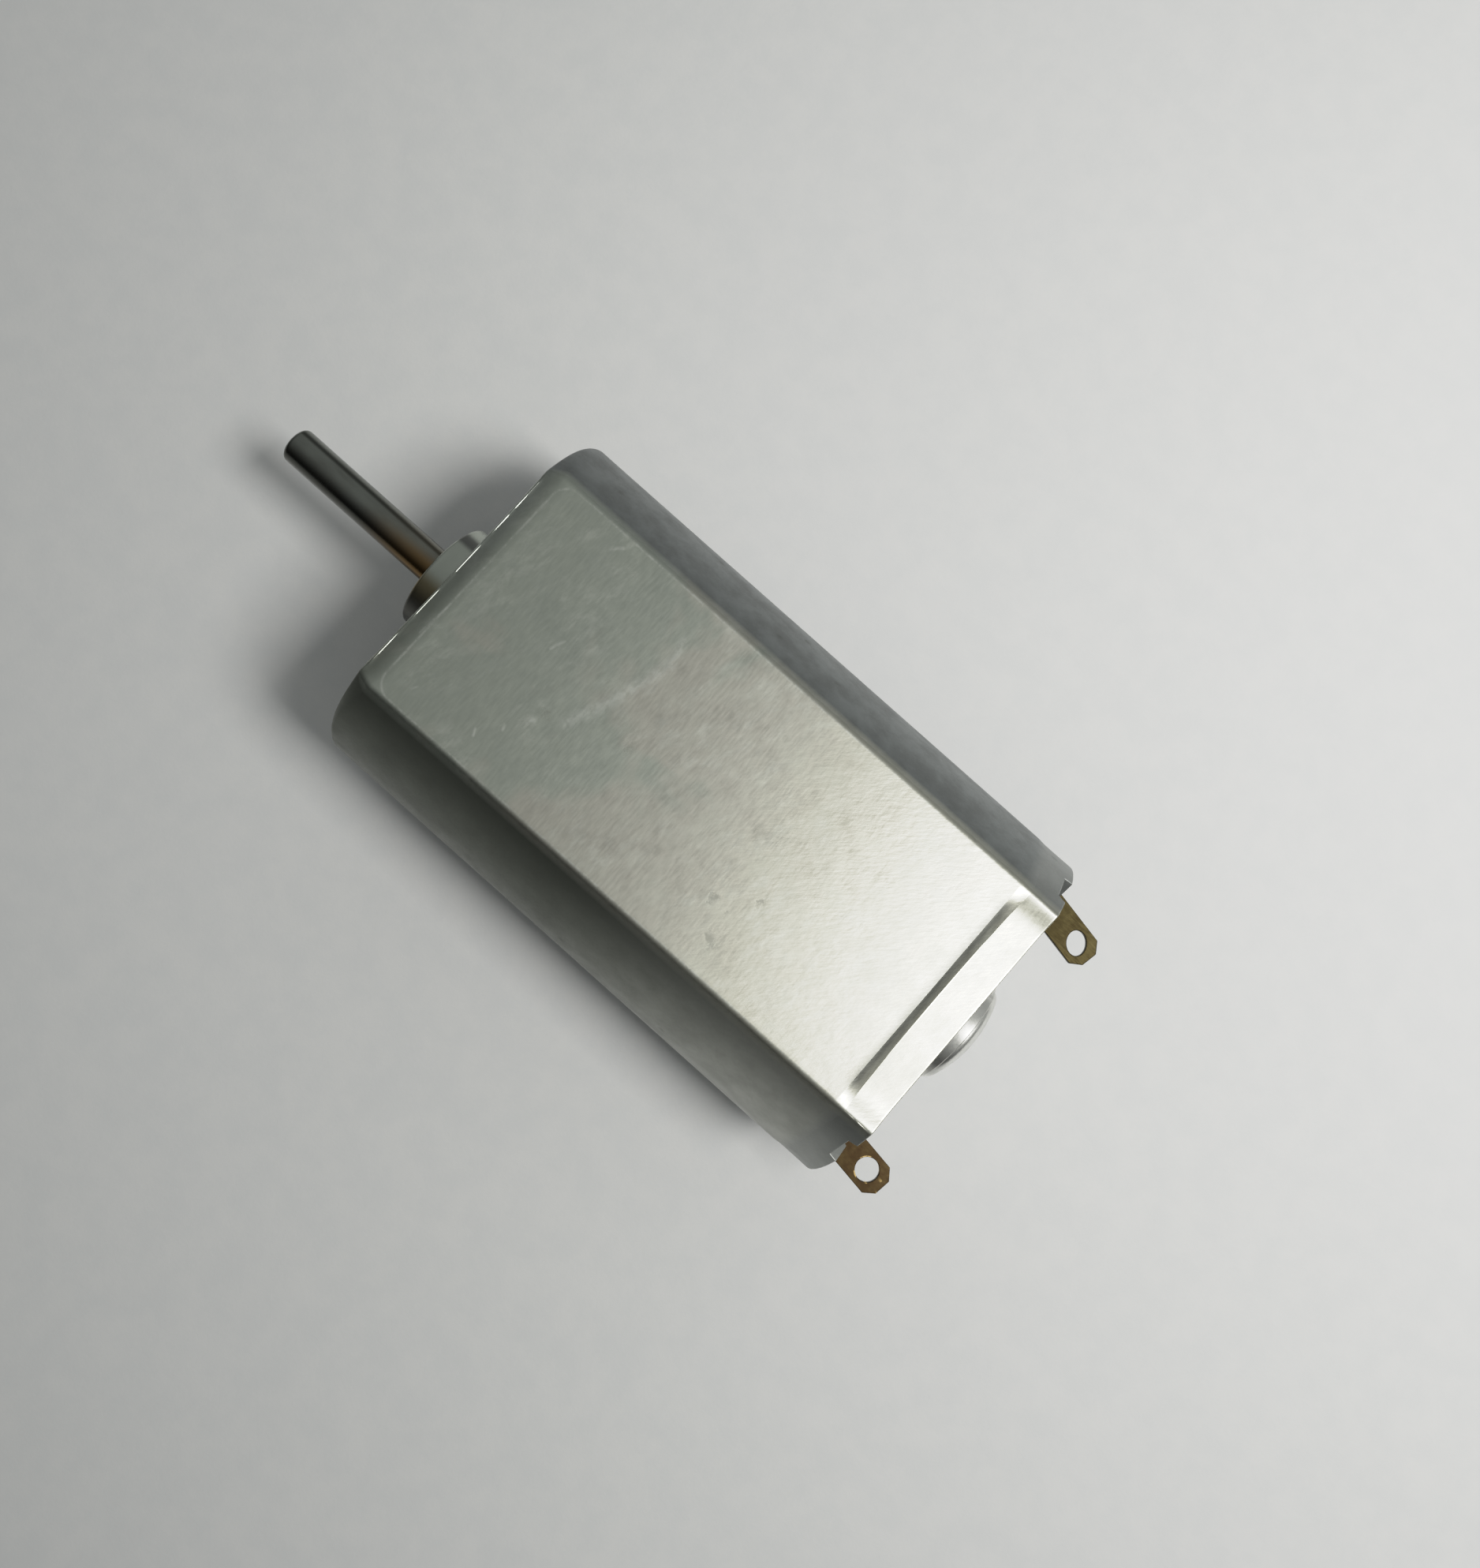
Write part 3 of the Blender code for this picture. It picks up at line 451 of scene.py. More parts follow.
def plated_steel():
    """Satin plated sheet: cloudy tint, cross-drawn grain, pits, scuffs and rubbed marks."""
    s = Shader("plated_steel_look")
    x, y, z = (s.axis(name) for name in "XYZ")
    wide = s.size(y)
    mottle = s.noise(0.7, 5.0, 0.62)

    clouds = s.noise(0.13, 3.0, 0.55, distortion=0.6)
    drawn = s.plus(clouds, s.remap(x, *DRAWN_X, 0.12, -0.06))
    tint = s.blend(s.remap(drawn, 0.44, 0.56), GREENISH, GREY)
    # Painted highlight: towards the rear the flats blend to a lighter cream tint.
    tint = s.blend(s.remap(x, *HIGHLIGHT_CREAM_X, 0.0, 0.85), tint, HIGHLIGHT_CREAM)
    tint = s.blend(s.remap(mottle, *MOTTLE_RANGE, 0.0, 0.35), tint, MOTTLE)
    scuffs = s.noise(0.9, 8.0, 0.72, s.strokes(70.0, 0.8, 1.6), 0.3)
    patches = s.remap(s.noise(0.28, 2.0, 0.5), 0.42, 0.6, 0.25, 1.0)
    tint = s.blend(s.times(s.remap(scuffs, 0.45, 0.67, 0.0, 0.36), patches), tint, SCUFF)

    inner_y = s.remap(wide, EDGE_Y - 0.1, EDGE_Y - 0.5)
    band_up = s.times(s.times(s.remap(z, 7.2, 7.3), s.remap(x, *BAND_X)), inner_y)
    flat_up = s.remap(z, CAN_HALF_HEIGHT - 0.42, CAN_HALF_HEIGHT - 0.01, smooth=False)
    flat_up = s.most(flat_up, band_up)
    flat_down = s.remap(z, 0.42 - CAN_HALF_HEIGHT, 0.06 - CAN_HALF_HEIGHT)
    slope_up = s.times(s.remap(z, 6.6, 7.2), s.remap(x, *SLOPE_X))
    slope_down = s.times(s.remap(z, -6.6, -7.2), s.remap(x, *SLOPE_X))
    slopes = s.times(s.times(s.most(slope_up, slope_down), 0.6), inner_y)
    flats = s.most(s.most(flat_up, flat_down), slopes)
    flats = s.most(flats, s.remap(x, -0.05, -0.005))

    # Painted shade: the curved walls take darker tints than the flats, the +Y wall an olive tint darkest at
    # its front; both walls lighten at their rear ends.
    side = s.blend(s.remap(mottle, *MOTTLE_RANGE), *SHADED_SIDE_TINTS)
    olive = s.blend(s.remap(x, *OLIVE_X), *SHADED_OLIVE_TINTS)
    olive = s.blend(s.remap(mottle, *MOTTLE_RANGE, 0.0, 0.15), olive, OLIVE_MOTTLE)
    side = s.blend(s.remap(y, -2.0, 2.0), side, olive)
    side = s.blend(s.remap(x, *REAR_SIDE_X, 0.0, 0.8), side, REAR_SIDE)
    tint = s.blend(flats, side, tint)

    # Painted reflection and shade on the boss: brown beside the shaft, dark towards its +Y end, and a dark
    # patch on its -Y side.
    boss = s.blend(s.remap(y, 0.3, 1.2), *BOSS_TINTS_WITH_REFLECTION_AND_SHADE[:2])
    boss = s.blend(s.remap(y, 1.3, 2.3), boss, BOSS_TINTS_WITH_REFLECTION_AND_SHADE[2])
    shade_patch = s.remap(s.size(s.minus(y, BOSS_SHADE_PATCH_Y)), 0.15, 0.5, 1.0, 0.0)
    boss = s.blend(shade_patch, boss, BOSS_SHADE_PATCH)
    tint = s.blend(s.remap(x, 0.02, 0.12), tint, boss)

    dark = 0.0
    ragged = s.remap(s.noise(1.5, 5.0, 0.7), 0.3, 0.7, -0.38, 0.38, smooth=False)
    for pit in PITS:
        dark = s.most(dark, s.spot(*pit, ragged))
    pits = s.times(s.remap(s.cells(0.5), 0.04, 0.14, 1.0, 0.0), s.remap(s.noise(0.35, 2.0), 0.5, 0.6))
    dark = s.most(dark, s.times(pits, 0.6))
    tint = s.blend(s.times(dark, 0.58), tint, PIT_TINT)

    # Painted shade along the rear band's step on both flats, fading within half a millimetre each side and
    # towards the long edges.
    step_shade = s.remap(s.size(s.minus(x, STEP_SHADE_X)), 0.0, 0.5, 1.0, 0.0)
    step_shade = s.times(step_shade, s.remap(wide, EDGE_Y - 0.5, EDGE_Y - 1.5))
    step_shade = s.times(step_shade, s.remap(z, CAN_HALF_HEIGHT - 0.5, CAN_HALF_HEIGHT - 0.3))
    tint = s.blend(s.times(step_shade, 0.85), tint, STEP_SHADE_TINT)

    bright = 0.0
    for ends in RUBS:
        bright = s.most(bright, s.stroke(*ends))
    bright = s.times(s.times(bright, flat_up), s.remap(s.noise(2.2, 3.0, 0.6), 0.3, 0.62))
    tint = s.blend(s.times(bright, 0.42), tint, RUB_TINT)
    # Lighter broken line along the flats' outline and rounded front corners: partly worn edge, partly painted
    # highlight.
    rim = s.times(s.flat_rim(0.10), s.remap(s.noise(2.4, 4.0, 0.7), 0.40, 0.6, 0.2, 1.0))
    tint = s.blend(s.times(s.times(rim, flat_up), 0.55), tint, RIM_WEAR_AND_HIGHLIGHT)

    grain = s.noise(3.0, 6.0, 0.65, s.stretch((2.6, 0.4, 2.6), (0.0, 0.0, 8.0)))
    rough = s.remap(mottle, 0.3, 0.7, 0.30, 0.40, smooth=False)
    rough = s.plus(rough, s.remap(grain, 0.3, 0.7, -0.04, 0.04, smooth=False))
    rough = s.plus(rough, s.times(dark, 0.12))
    rough = s.plus(rough, s.remap(flats, 0.0, 1.0, 0.10, 0.0))

    ripple = s.noise(1.0, 3.0, 0.55, s.strokes(42.0, 1.7, 5.6))
    normal = s.bump(s.noise(0.55, 2.0, 0.5), 0.010)
    normal = s.bump(s.times(ripple, s.remap(x, *RIPPLE_X, 0.9, 0.12)), 0.0062, normal)
    normal = s.bump(grain, 0.0010, normal)
    normal = s.bump(s.minus(bright, dark), 0.0013, normal)
    return s.finish(tint, rough, normal, metallic=1.0)


def fine_lines(s, lines, smears, low, high):
    """Roughness and normal of ground steel, from its line and smear patterns."""
    rough = s.remap(lines, 0.3, 0.7, low, high, smooth=False)
    rough = s.plus(rough, s.remap(smears, 0.4, 0.75, 0.0, 0.08))
    normal = s.bump(lines, 0.0006)
    return rough, s.bump(s.noise(1.6, 2.0, 0.5), 0.0015, normal)


def polished_steel(name, colour, rough_low, rough_high, along):
    """Ground or pressed bright steel with fine lines across or along the axis."""
    s = Shader(name)
    lines = s.noise(6.0, 5.0, 0.6, s.stretch(along))
    smears = s.noise(0.9, 4.0, 0.6)
    dark = tuple(0.72 * v for v in colour)
    tint = s.blend(s.remap(smears, 0.35, 0.7, 0.0, 0.6), colour, dark)
    rough, normal = fine_lines(s, lines, smears, rough_low, rough_high)
    return s.finish(tint, rough, normal, metallic=1.0)


def browned_steel():
    """Dark ground steel, oiled and browned where it enters the bearing, with painted shade on its +Y flank
    and a painted dark reflection line.
    """
    s = Shader("shaft_look")
    x, y = (s.axis(name) for name in "XY")
    lines = s.noise(6.0, 5.0, 0.6, s.stretch((4.0, 0.6, 0.6)))
    smears = s.noise(0.7, 4.0, 0.6, s.stretch((0.5, 1.6, 1.6)))
    tint = s.blend(s.remap(smears, *MOTTLE_RANGE), *SHAFT_TINTS)
    # Painted shade on the shaft's +Y flank.
    tint = s.blend(s.times(s.remap(y, -0.15, 0.75), 0.72), tint, SHAFT_SHADED_FLANK)
    # Painted reflection: a dark line along the shaft on its -Y side.
    dark_reflection = s.remap(s.size(s.minus(y, SHAFT_DARK_REFLECTION_Y)), 0.04, 0.2, 1.0, 0.0)
    tint = s.blend(s.times(dark_reflection, 0.8), tint, SHAFT_DARK_REFLECTION)
    oiled = s.times(s.remap(x, 7.5, 3.0), s.remap(y, -0.45, 0.25, 0.15, 1.0))
    tint = s.blend(s.times(oiled, 0.75), tint, OILED_BROWN)
    rough, normal = fine_lines(s, lines, smears, 0.13, 0.22)
    return s.finish(tint, rough, normal, metallic=1.0)


def tarnished_and_shaded_brass(name, tab):
    """Rolled brass browned by handling and painted darker still as shade, rubbed bright round the hole and at
    the end.
    """
    s = Shader(name)
    blotches = s.noise(1.3, 4.0, 0.6)
    tint = s.blend(s.remap(blotches, *MOTTLE_RANGE), *tab["shaded_tones"])
    hole_x, hole_y = tab_place(tab)(tab["hole_at"], 0.0)
    radius = s.length(s.minus(s.axis("X"), hole_x), s.minus(s.axis("Y"), hole_y))
    ring = s.remap(radius, 0.62, 0.72, 1.0, 0.0)
    worn = s.times(ring, s.remap(s.noise(1.9, 3.0, 0.6), 0.54, 0.62, 0.0, tab["wear"]))
    end_x = TAB_BEND_X - tab["length"]
    end = s.remap(s.axis("X"), end_x + 0.5, end_x - 0.05)
    end = s.times(end, s.remap(s.noise(2.6, 3.0, 0.6), 0.52, 0.64, 0.0, tab["wear"]))
    tint = s.blend(s.most(worn, end), tint, RUBBED_BRASS)
    grain = s.noise(6.0, 4.0, 0.6, s.stretch((0.3, 3.0, 3.0)))
    rough = s.remap(grain, 0.3, 0.7, 0.34, 0.50, smooth=False)
    normal = s.bump(grain, 0.0012)
    normal = s.bump(s.noise(2.0, 3.0, 0.5), 0.004, normal)
    return s.finish(tint, rough, normal, metallic=1.0)


def moulded(name, colour, fleck, roughness):
    """Moulded plastic or fibre: faint flow marks and a fine spark-eroded texture."""
    s = Shader(name)
    flow = s.noise(0.8, 3.0, 0.6, s.stretch((1.0, 0.5, 1.4)))
    tint = s.blend(s.remap(flow, 0.3, 0.72), colour, fleck)
    fine = s.noise(9.0, 3.0, 0.6)
    rough = s.remap(fine, 0.3, 0.7, roughness - 0.06, roughness + 0.08, smooth=False)
    normal = s.bump(fine, 0.25 * FLOW_DEPTH)
    normal = s.bump(flow, FLOW_DEPTH, normal)
    return s.finish(tint, rough, normal, Specular_IOR_Level=0.45)


def sintered(name, colour, fleck, metallic, roughness, grain_scale=6.0):
    """Pressed powder: speckled grains with open pores."""
    s = Shader(name)
    grains = s.cells(grain_scale)
    speckle = s.noise(grain_scale * 0.7, 4.0, 0.7)
    tint = s.blend(s.remap(speckle, 0.35, 0.7), colour, fleck)
    pores = s.remap(grains, 0.12, 0.3, 1.0, 0.0)
    tint = s.blend(s.times(pores, 0.5), tint, tuple(0.4 * v for v in colour))
    rough = s.remap(speckle, 0.3, 0.7, roughness - 0.08, roughness + 0.1, smooth=False)
    normal = s.bump(grains, 0.006)
    normal = s.bump(speckle, 0.003, normal)
    return s.finish(tint, rough, normal, metallic=metallic)


def wound_wire(name, pole):
    """Enamelled wire laid side by side round a pole, with a glossy varnish coat and painted shade between the
    turns.
    """
    s = Shader(name)
    turn = s.stretch((1.0, 1.0, 1.0), (120.0 * pole, 0.0, 0.0))
    split = s.tree.nodes.new("ShaderNodeSeparateXYZ")
    s.link(turn, split.inputs["Vector"])
    wobble = s.remap(s.noise(0.6, 2.0), 0.2, 0.8, -0.12, 0.12, smooth=False)
    layer = s.plus(split.outputs["Y"], wobble)
    height = s.size(s.math("SINE", s.times(layer, 2.0 * math.pi / WIRE_PITCH)))
    # Painted shade: the wire is dark in the hollows between turns and lighter on their crests.
    tint = s.blend(height, (0.12, 0.03, 0.008), (0.62, 0.2, 0.055))
    tint = s.blend(s.remap(s.noise(1.4, 3.0), 0.4, 0.7, 0.0, 0.5), tint, (0.4, 0.1, 0.03))
    rough = s.remap(s.noise(3.0, 3.0), 0.3, 0.7, 0.22, 0.4, smooth=False)
    return s.finish(tint, rough, s.bump(height, 0.05), metallic=0.85, Coat_Weight=0.5, Coat_Roughness=0.2)


def laminations():
    """Edges of stacked steel sheets, with a lacquered surface."""
    s = Shader("lamination_look")
    sheets = s.math("FRACT", s.times(s.axis("X"), LAMINATIONS_PER_MM))
    gap = s.remap(s.size(s.minus(sheets, 0.5)), 0.38, 0.48)
    stain = s.noise(1.2, 4.0, 0.6)
    tint = s.blend(s.remap(stain, 0.35, 0.7), (0.22, 0.215, 0.21), (0.14, 0.13, 0.125))
    tint = s.blend(gap, tint, (0.03, 0.028, 0.026))
    rough = s.remap(stain, 0.3, 0.7, 0.38, 0.55, smooth=False)
    normal = s.bump(gap, -0.03)
    normal = s.bump(s.noise(5.0, 3.0), 0.003, normal)
    return s.finish(tint, rough, normal, metallic=0.9)


# ---------------------------------------------------------------- mesh helpers


def loft(bm, rings, wrap):
    """Skin equal-length rings; wrap joins last to first, otherwise both ends are capped."""
    rows = [[bm.verts.new(point) for point in ring] for ring in rings]
    pairs = list(zip(rows, rows[1:]))
    if wrap:
        pairs.append((rows[-1], rows[0]))
    else:
        bm.faces.new(rows[0])
        bm.faces.new(list(reversed(rows[-1])))
    for near, far in pairs:
        count = len(near)
        for i in range(count):
            j = (i + 1) % count
            bm.faces.new((near[i], near[j], far[j], far[i]))


def even_angles(count):
    """Evenly spaced angles round the axis."""
    return [2.0 * math.pi * i / count for i in range(count)]


def circle(x, radius, angles):
    """Ring of points about the shaft axis."""
    return [(x, radius * math.cos(a), radius * math.sin(a)) for a in angles]


def rounded(profile, radius, steps=4):
    """Round every corner of a closed (x, r) profile."""
    points = []
    count = len(profile)
    for i in range(count):
        before, here, after = (Vector(profile[(i + k) % count]) for k in (-1, 0, 1))
        back = before - here
        ahead = after - here
        reach = min(radius, 0.4 * back.length, 0.4 * ahead.length)
        start = here + back.normalized() * reach
        end = here + ahead.normalized() * reach
        for k in range(steps + 1):
            t = k / steps
            points.append(tuple((1 - t) ** 2 * start + 2 * t * (1 - t) * here + t ** 2 * end))
    return points


def lathe(profile, wrap):
    """Revolve an (x, radius) profile about the shaft axis."""
    bm = bmesh.new()
    loft(bm, [circle(x, radius, even_angles(ROUND_STEPS)) for x, radius in profile], wrap)
    return bm


def steps_between(start, end, count):
    """Evenly spaced values, both ends included."""
    return [start + (end - start) * i / count for i in range(count + 1)]


def section(radius, half_height, bend):
    """Outline of a circle cut by two flats, its four bends rounded by true arcs."""
    inner = radius - bend
    corner = math.asin((half_height - bend) / inner)
    centre_y = inner * math.cos(corner)
    centre_z = inner * math.sin(corner)
    low, high = NOTCH_DEG
    wall = NOTCH_WALL_DEG
    degrees = steps_between(0.0, low - wall, SIDE_STEPS) + steps_between(low + wall, high - wall, NOTCH_STEPS)
    squeeze = min(1.0, corner / math.radians(high + wall + SHOULDER_MIN_DEG))
    arc = [squeeze * math.radians(a) for a in degrees]
    arc += steps_between(squeeze * math.radians(high + wall), corner, SHOULDER_STEPS)
    quarter = [(radius * math.cos(a), radius * math.sin(a)) for a in arc]
    for a in steps_between(corner, 0.5 * math.pi, BEND_STEPS)[1:]:
        quarter.append((centre_y + bend * math.cos(a), centre_z + bend * math.sin(a)))
    for y in steps_between(centre_y, 0.0, FLAT_HALF_STEPS)[1:]:
        quarter.append((y, half_height))
    upper_left = [(-y, z) for y, z in reversed(quarter[:-1])]
    lower_left = [(-y, -z) for y, z in quarter[1:]]
    lower_right = [(y, -z) for y, z in reversed(quarter[1:-1])]
    return quarter + upper_left + lower_left + lower_right


OUTER_SECTION = section(CAN_RADIUS, CAN_HALF_HEIGHT, CAN_BEND)
SECTION_ANGLES = [math.atan2(z, y) for y, z in OUTER_SECTION]


def section_ring(x, inset, bend=INNER_BEND, radius=CAN_RADIUS, half_height=CAN_HALF_HEIGHT):
    """Flat-sided ring at one station."""
    return [(x, y, z) for y, z in section(radius - inset, half_height - inset, bend)]


def corner_weight(y, z):
    """1 at the flats' long edges, falling smoothly to 0 away from them."""
    distance = math.hypot(abs(y) - EDGE_Y, abs(z) - CAN_HALF_HEIGHT)
    return math.exp(-((distance / CORNER_REACH) ** 2))


def smooth_share(value, start, end):
    """Smooth 0 to 1 between two values."""
    t = min(1.0, max(0.0, (value - start) / (end - start)))
    return t * t * (3.0 - 2.0 * t)


def dent(x, y, z, frequency, depth, shift=0.0):
    """One layer of shallow dents."""
    return depth * (0.5 + 0.5 * noise.noise(Vector((frequency * x, frequency * y, frequency * z + shift))))


def skin_ring(x, share, extra=0.0, fade=1.0, bow=0.0):
    """Outside ring of the can: rear band depth times share, with slight dents, always inwards."""
    ring = []
    for y, z in OUTER_SECTION:
        weight = corner_weight(y, z)
        flat = abs(z) > CAN_HALF_HEIGHT - FLAT_MARGIN and abs(y) < EDGE_Y
        full = BAND_DEPTH if flat else BAND_SIDE_DEPTH
        depth = share * (full * (1.0 - weight) + BAND_CORNER_DEPTH * weight) + extra
        depth += fade * (dent(x, y, z, *DENT_WIDE, 3.0) + dent(x, y, z, *DENT_SMALL))
        reach = 1.0 if flat else 1.0 - smooth_share(abs(y), EDGE_Y, EDGE_Y + CORNER_FADE)
        px = x - bow * (y / EDGE_Y) ** 2 * reach
        if flat:
            ring.append((px, y, z - math.copysign(depth, z)))
        else:
            shrink = 1.0 - depth / math.hypot(y, z)
            ring.append((px, y * shrink, z * shrink))
    return ring


def rear_edge(angle):
    """Notch depth and crimp lip of the can's rear edge at one angle round the axis."""
    slope = math.degrees(abs(math.asin(math.sin(angle))))
    if NOTCH_DEG[0] < slope < NOTCH_DEG[1]:
        return NOTCH_DEPTH, 0.0
    return 0.0, CRIMP_LIP if slope <= NOTCH_DEG[0] else 0.0


def notched(ring):
    """Move a ring's points forward where the rear edge is notched."""
    return [(x + rear_edge(a)[0], y, z) for (x, y, z), a in zip(ring, SECTION_ANGLES)]


def inner_rear_ring(back, extra, lip_share):
    """Inner ring near the rear edge, drawn inwards where the edge is crimped."""
    ring = []
    inner = section(CAN_RADIUS - CAN_WALL + extra, CAN_HALF_HEIGHT - CAN_WALL + extra, INNER_BEND)
    for (y, z), angle in zip(inner, SECTION_ANGLES):
        notch, lip = rear_edge(angle)
        scale = 1.0 - lip_share * lip / math.hypot(y, z)
        ring.append((-CAN_LENGTH + notch + back, y * scale, z * scale))
    return ring


def flat_front_profile(t):
    """Setback and drop of the front edge over a flat: a gentle slope, then a tight turn."""
    if t <= FRONT_SLOPE_SHARE:
        u = t / FRONT_SLOPE_SHARE
        back = FRONT_EDGE_BACK + (FRONT_SLOPE_LENGTH - FRONT_EDGE_BACK) * (1.0 - u)
        return back, FRONT_EDGE_DROP * u ** FRONT_SLOPE_POWER
    full = FRONT_FACE_DROP - FRONT_EDGE_DROP
    fall = full * ((t - FRONT_SLOPE_SHARE) / (1.0 - FRONT_SLOPE_SHARE)) ** 2
    tight = FRONT_TURN_TIGHT * (1.0 - math.exp(-fall / FRONT_TURN_REACH))
    ahead = tight + (1.0 - tight) * (fall / full) ** FRONT_TURN_POWER
    return FRONT_EDGE_BACK * (1.0 - ahead), FRONT_EDGE_DROP + fall


def front_ring(t, burr=0.0):
    """Ring of the front edge: long and soft over the flats, tight round the curved sides."""
    ring = []
    turn = 0.5 * math.pi * t
    side_back = FRONT_SIDE_FILLET * (1.0 - math.sin(turn))
    side_drop = FRONT_SIDE_FILLET * (1.0 - math.cos(turn))
    flat_back, flat_drop = flat_front_profile(t)
    for y, z in OUTER_SECTION:
        side = smooth_share(abs(y), *FILLET_CHANGE_Y)
        back = flat_back + side * (side_back - flat_back)
        drop = flat_drop + side * (side_drop - flat_drop)
        if burr and z > 0.0 and abs(y) < BURR_REACH_Y:
            rough = noise.noise(Vector((0.7 * y, 4.0, 1.0))) + 0.4 * noise.noise(Vector((2.4 * y, 9.0, 2.0)))
            drop -= burr * max(0.3, min(1.1, 0.85 + 0.8 * rough))
        scale = 1.0 - drop / math.hypot(y, z)
        ring.append((-back, y * scale, z * scale))
    return ring


def quarter_turn(count):
    """Setback and drop shares of a quarter round, from its start to its end."""
    return [(1.0 - math.cos(a), 1.0 - math.sin(a)) for a in steps_between(0.0, 0.5 * math.pi, count)]


def outer_rings():
    """Rings of the can's outside, from the rear edge to the front face."""
    rear = -CAN_LENGTH
    step_x = rear + BAND_LENGTH
    flat_x = step_x + BAND_RAMP + RING_GAP
    rings = []
    for back, drop in quarter_turn(3):
        rings.append(notched(skin_ring(rear + RIM_ROUND * back, 1.0, RIM_ROUND * drop, 0.0)))
    rings.append(notched(skin_ring(rear + RIM_ROUND + RING_GAP, 1.0, 0.0, 0.0)))
    rings += [skin_ring(x, 1.0) for x in steps_between(rear + NOTCH_DEPTH + 0.25, step_x - 0.04, 4)]
    for t in steps_between(0.0, 1.0, 12):
        share = (1.0 - t) ** BAND_RAMP_POWER
        rings.append(skin_ring(step_x + BAND_RAMP * t, share, bow=BAND_BOW * (1.0 - t)))
    rings += [skin_ring(x, 0.0) for x in steps_between(flat_x, -FRONT_SLOPE_LENGTH - 0.8, 30)]
    rings.append(skin_ring(-FRONT_SLOPE_LENGTH - 0.35, 0.0, 0.0, 0.5))
    rings += [front_ring(t) for t in steps_between(0.0, BURR_START, 7)]
    rings += [front_ring(t, share * BURR_HEIGHT) for t, share in BURR_RINGS]
    rings += [front_ring(t) for t in steps_between(FRONT_SLOPE_SHARE, 1.0, 9)[1:]]
    rings.append(section_ring(0.0, FRONT_FACE_DROP + 0.6, 1.6))
    return rings


def boss_profile():
    """Profile of the bearing boss: root fillet, rounded edge, lip and bore."""
    profile = [(0.0, BOSS_RADIUS + BOSS_FILLET + 0.6)]
    profile += [(BOSS_FILLET * b, BOSS_RADIUS + BOSS_FILLET * d) for b, d in quarter_turn(4)]
    profile += [(BOSS_HEIGHT - BOSS_EDGE * d, BOSS_RADIUS - BOSS_EDGE * b) for b, d in quarter_turn(4)]
    return profile + [
        (BOSS_HEIGHT, BOSS_LIP_RADIUS + BOSS_LIP_EDGE),
        (BOSS_HEIGHT - 0.3 * BOSS_LIP_EDGE, BOSS_LIP_RADIUS + 0.3 * BOSS_LIP_EDGE),
        (BOSS_HEIGHT - BOSS_LIP_EDGE, BOSS_LIP_RADIUS),
        (BOSS_HEIGHT - BOSS_LIP, BOSS_LIP_RADIUS),
        (BOSS_HEIGHT - BOSS_LIP, BOSS_BORE_RADIUS),
        (-CAN_WALL, BOSS_BORE_RADIUS),
    ]


def can_rings():
    """Rings of the can: outside from rear to front, over the boss, then back along the inside."""
    rings = outer_rings()
    rings += [circle(x, radius, SECTION_ANGLES) for x, radius in boss_profile()]
    for back, drop in reversed(quarter_turn(3)):
        rings.append(section_ring(-CAN_WALL - INNER_FILLET * drop, CAN_WALL + INNER_FILLET * back))
    for x in steps_between(-CAN_WALL - INNER_FILLET, -CAN_LENGTH + 1.5, 4)[1:]:
        rings.append(section_ring(x, CAN_WALL))
    rings.append(inner_rear_ring(CRIMP_THICKNESS + 0.15, 0.0, 0.0))
    rings.append(inner_rear_ring(CRIMP_THICKNESS, 0.0, 1.0))
    rings.append(inner_rear_ring(0.05, 0.0, 1.0))
    rings.append(inner_rear_ring(0.0, 0.05, 1.0))
    return rings


def carve(piece, name, rings):
    """Cut a closed loft of millimetre rings out of a piece."""
    bm = bmesh.new()
    loft(bm, rings, False)
    cutter = place_mesh(bm, name)
    cut = piece.modifiers.new("cut", "BOOLEAN")
    cut.operation = "DIFFERENCE"
    cut.solver = "EXACT"
    cut.object = cutter
    bpy.context.view_layer.update()
    depsgraph = bpy.context.evaluated_depsgraph_get()
    shaped = bpy.data.meshes.new_from_object(piece.evaluated_get(depsgraph), depsgraph=depsgraph)
    piece.modifiers.clear()
    piece.data = shaped
    bpy.data.objects.remove(cutter, do_unlink=True)


def screw_rings(y):
    """Rings of one tapped hole, ridged like its thread and countersunk at the face."""
    profile = [(-CAN_WALL - 0.6, SCREW_ROOT_RADIUS)]
    x = -CAN_WALL - 0.2
    while x < -0.15:
        profile.append((x, SCREW_ROOT_RADIUS))
        profile.append((x + 0.5 * SCREW_PITCH, SCREW_ROOT_RADIUS + SCREW_THREAD_DEPTH))
        x += SCREW_PITCH
    profile += [(-0.12, SCREW_ROOT_RADIUS), (0.0, SCREW_ROOT_RADIUS + 0.13), (0.3, SCREW_ROOT_RADIUS + 0.43)]
    profile.sort()
    angles = [a + 0.03 for a in even_angles(HOLE_STEPS)]
    return [[(px, y + py, pz) for px, py, pz in circle(x, r, angles)] for x, r in profile]


def crease_band_step(mesh):
    """Mark the upper line of the rear band's step as a crisp crease on both flats."""
    crease_x = -CAN_LENGTH + BAND_LENGTH + BAND_RAMP
    for edge in mesh.edges:
        first, second = ((mesh.vertices[i].co - FRONT) / MM for i in edge.vertices)
        middle = 0.5 * (first + second)
        along_ring = abs(first.y - second.y) > 0.1
        on_flat = abs(middle.y) < EDGE_Y and abs(middle.z) > CAN_HALF_HEIGHT - 0.7
        if along_ring and on_flat and abs(middle.x - crease_x) < 0.01:
            edge.use_edge_sharp = True


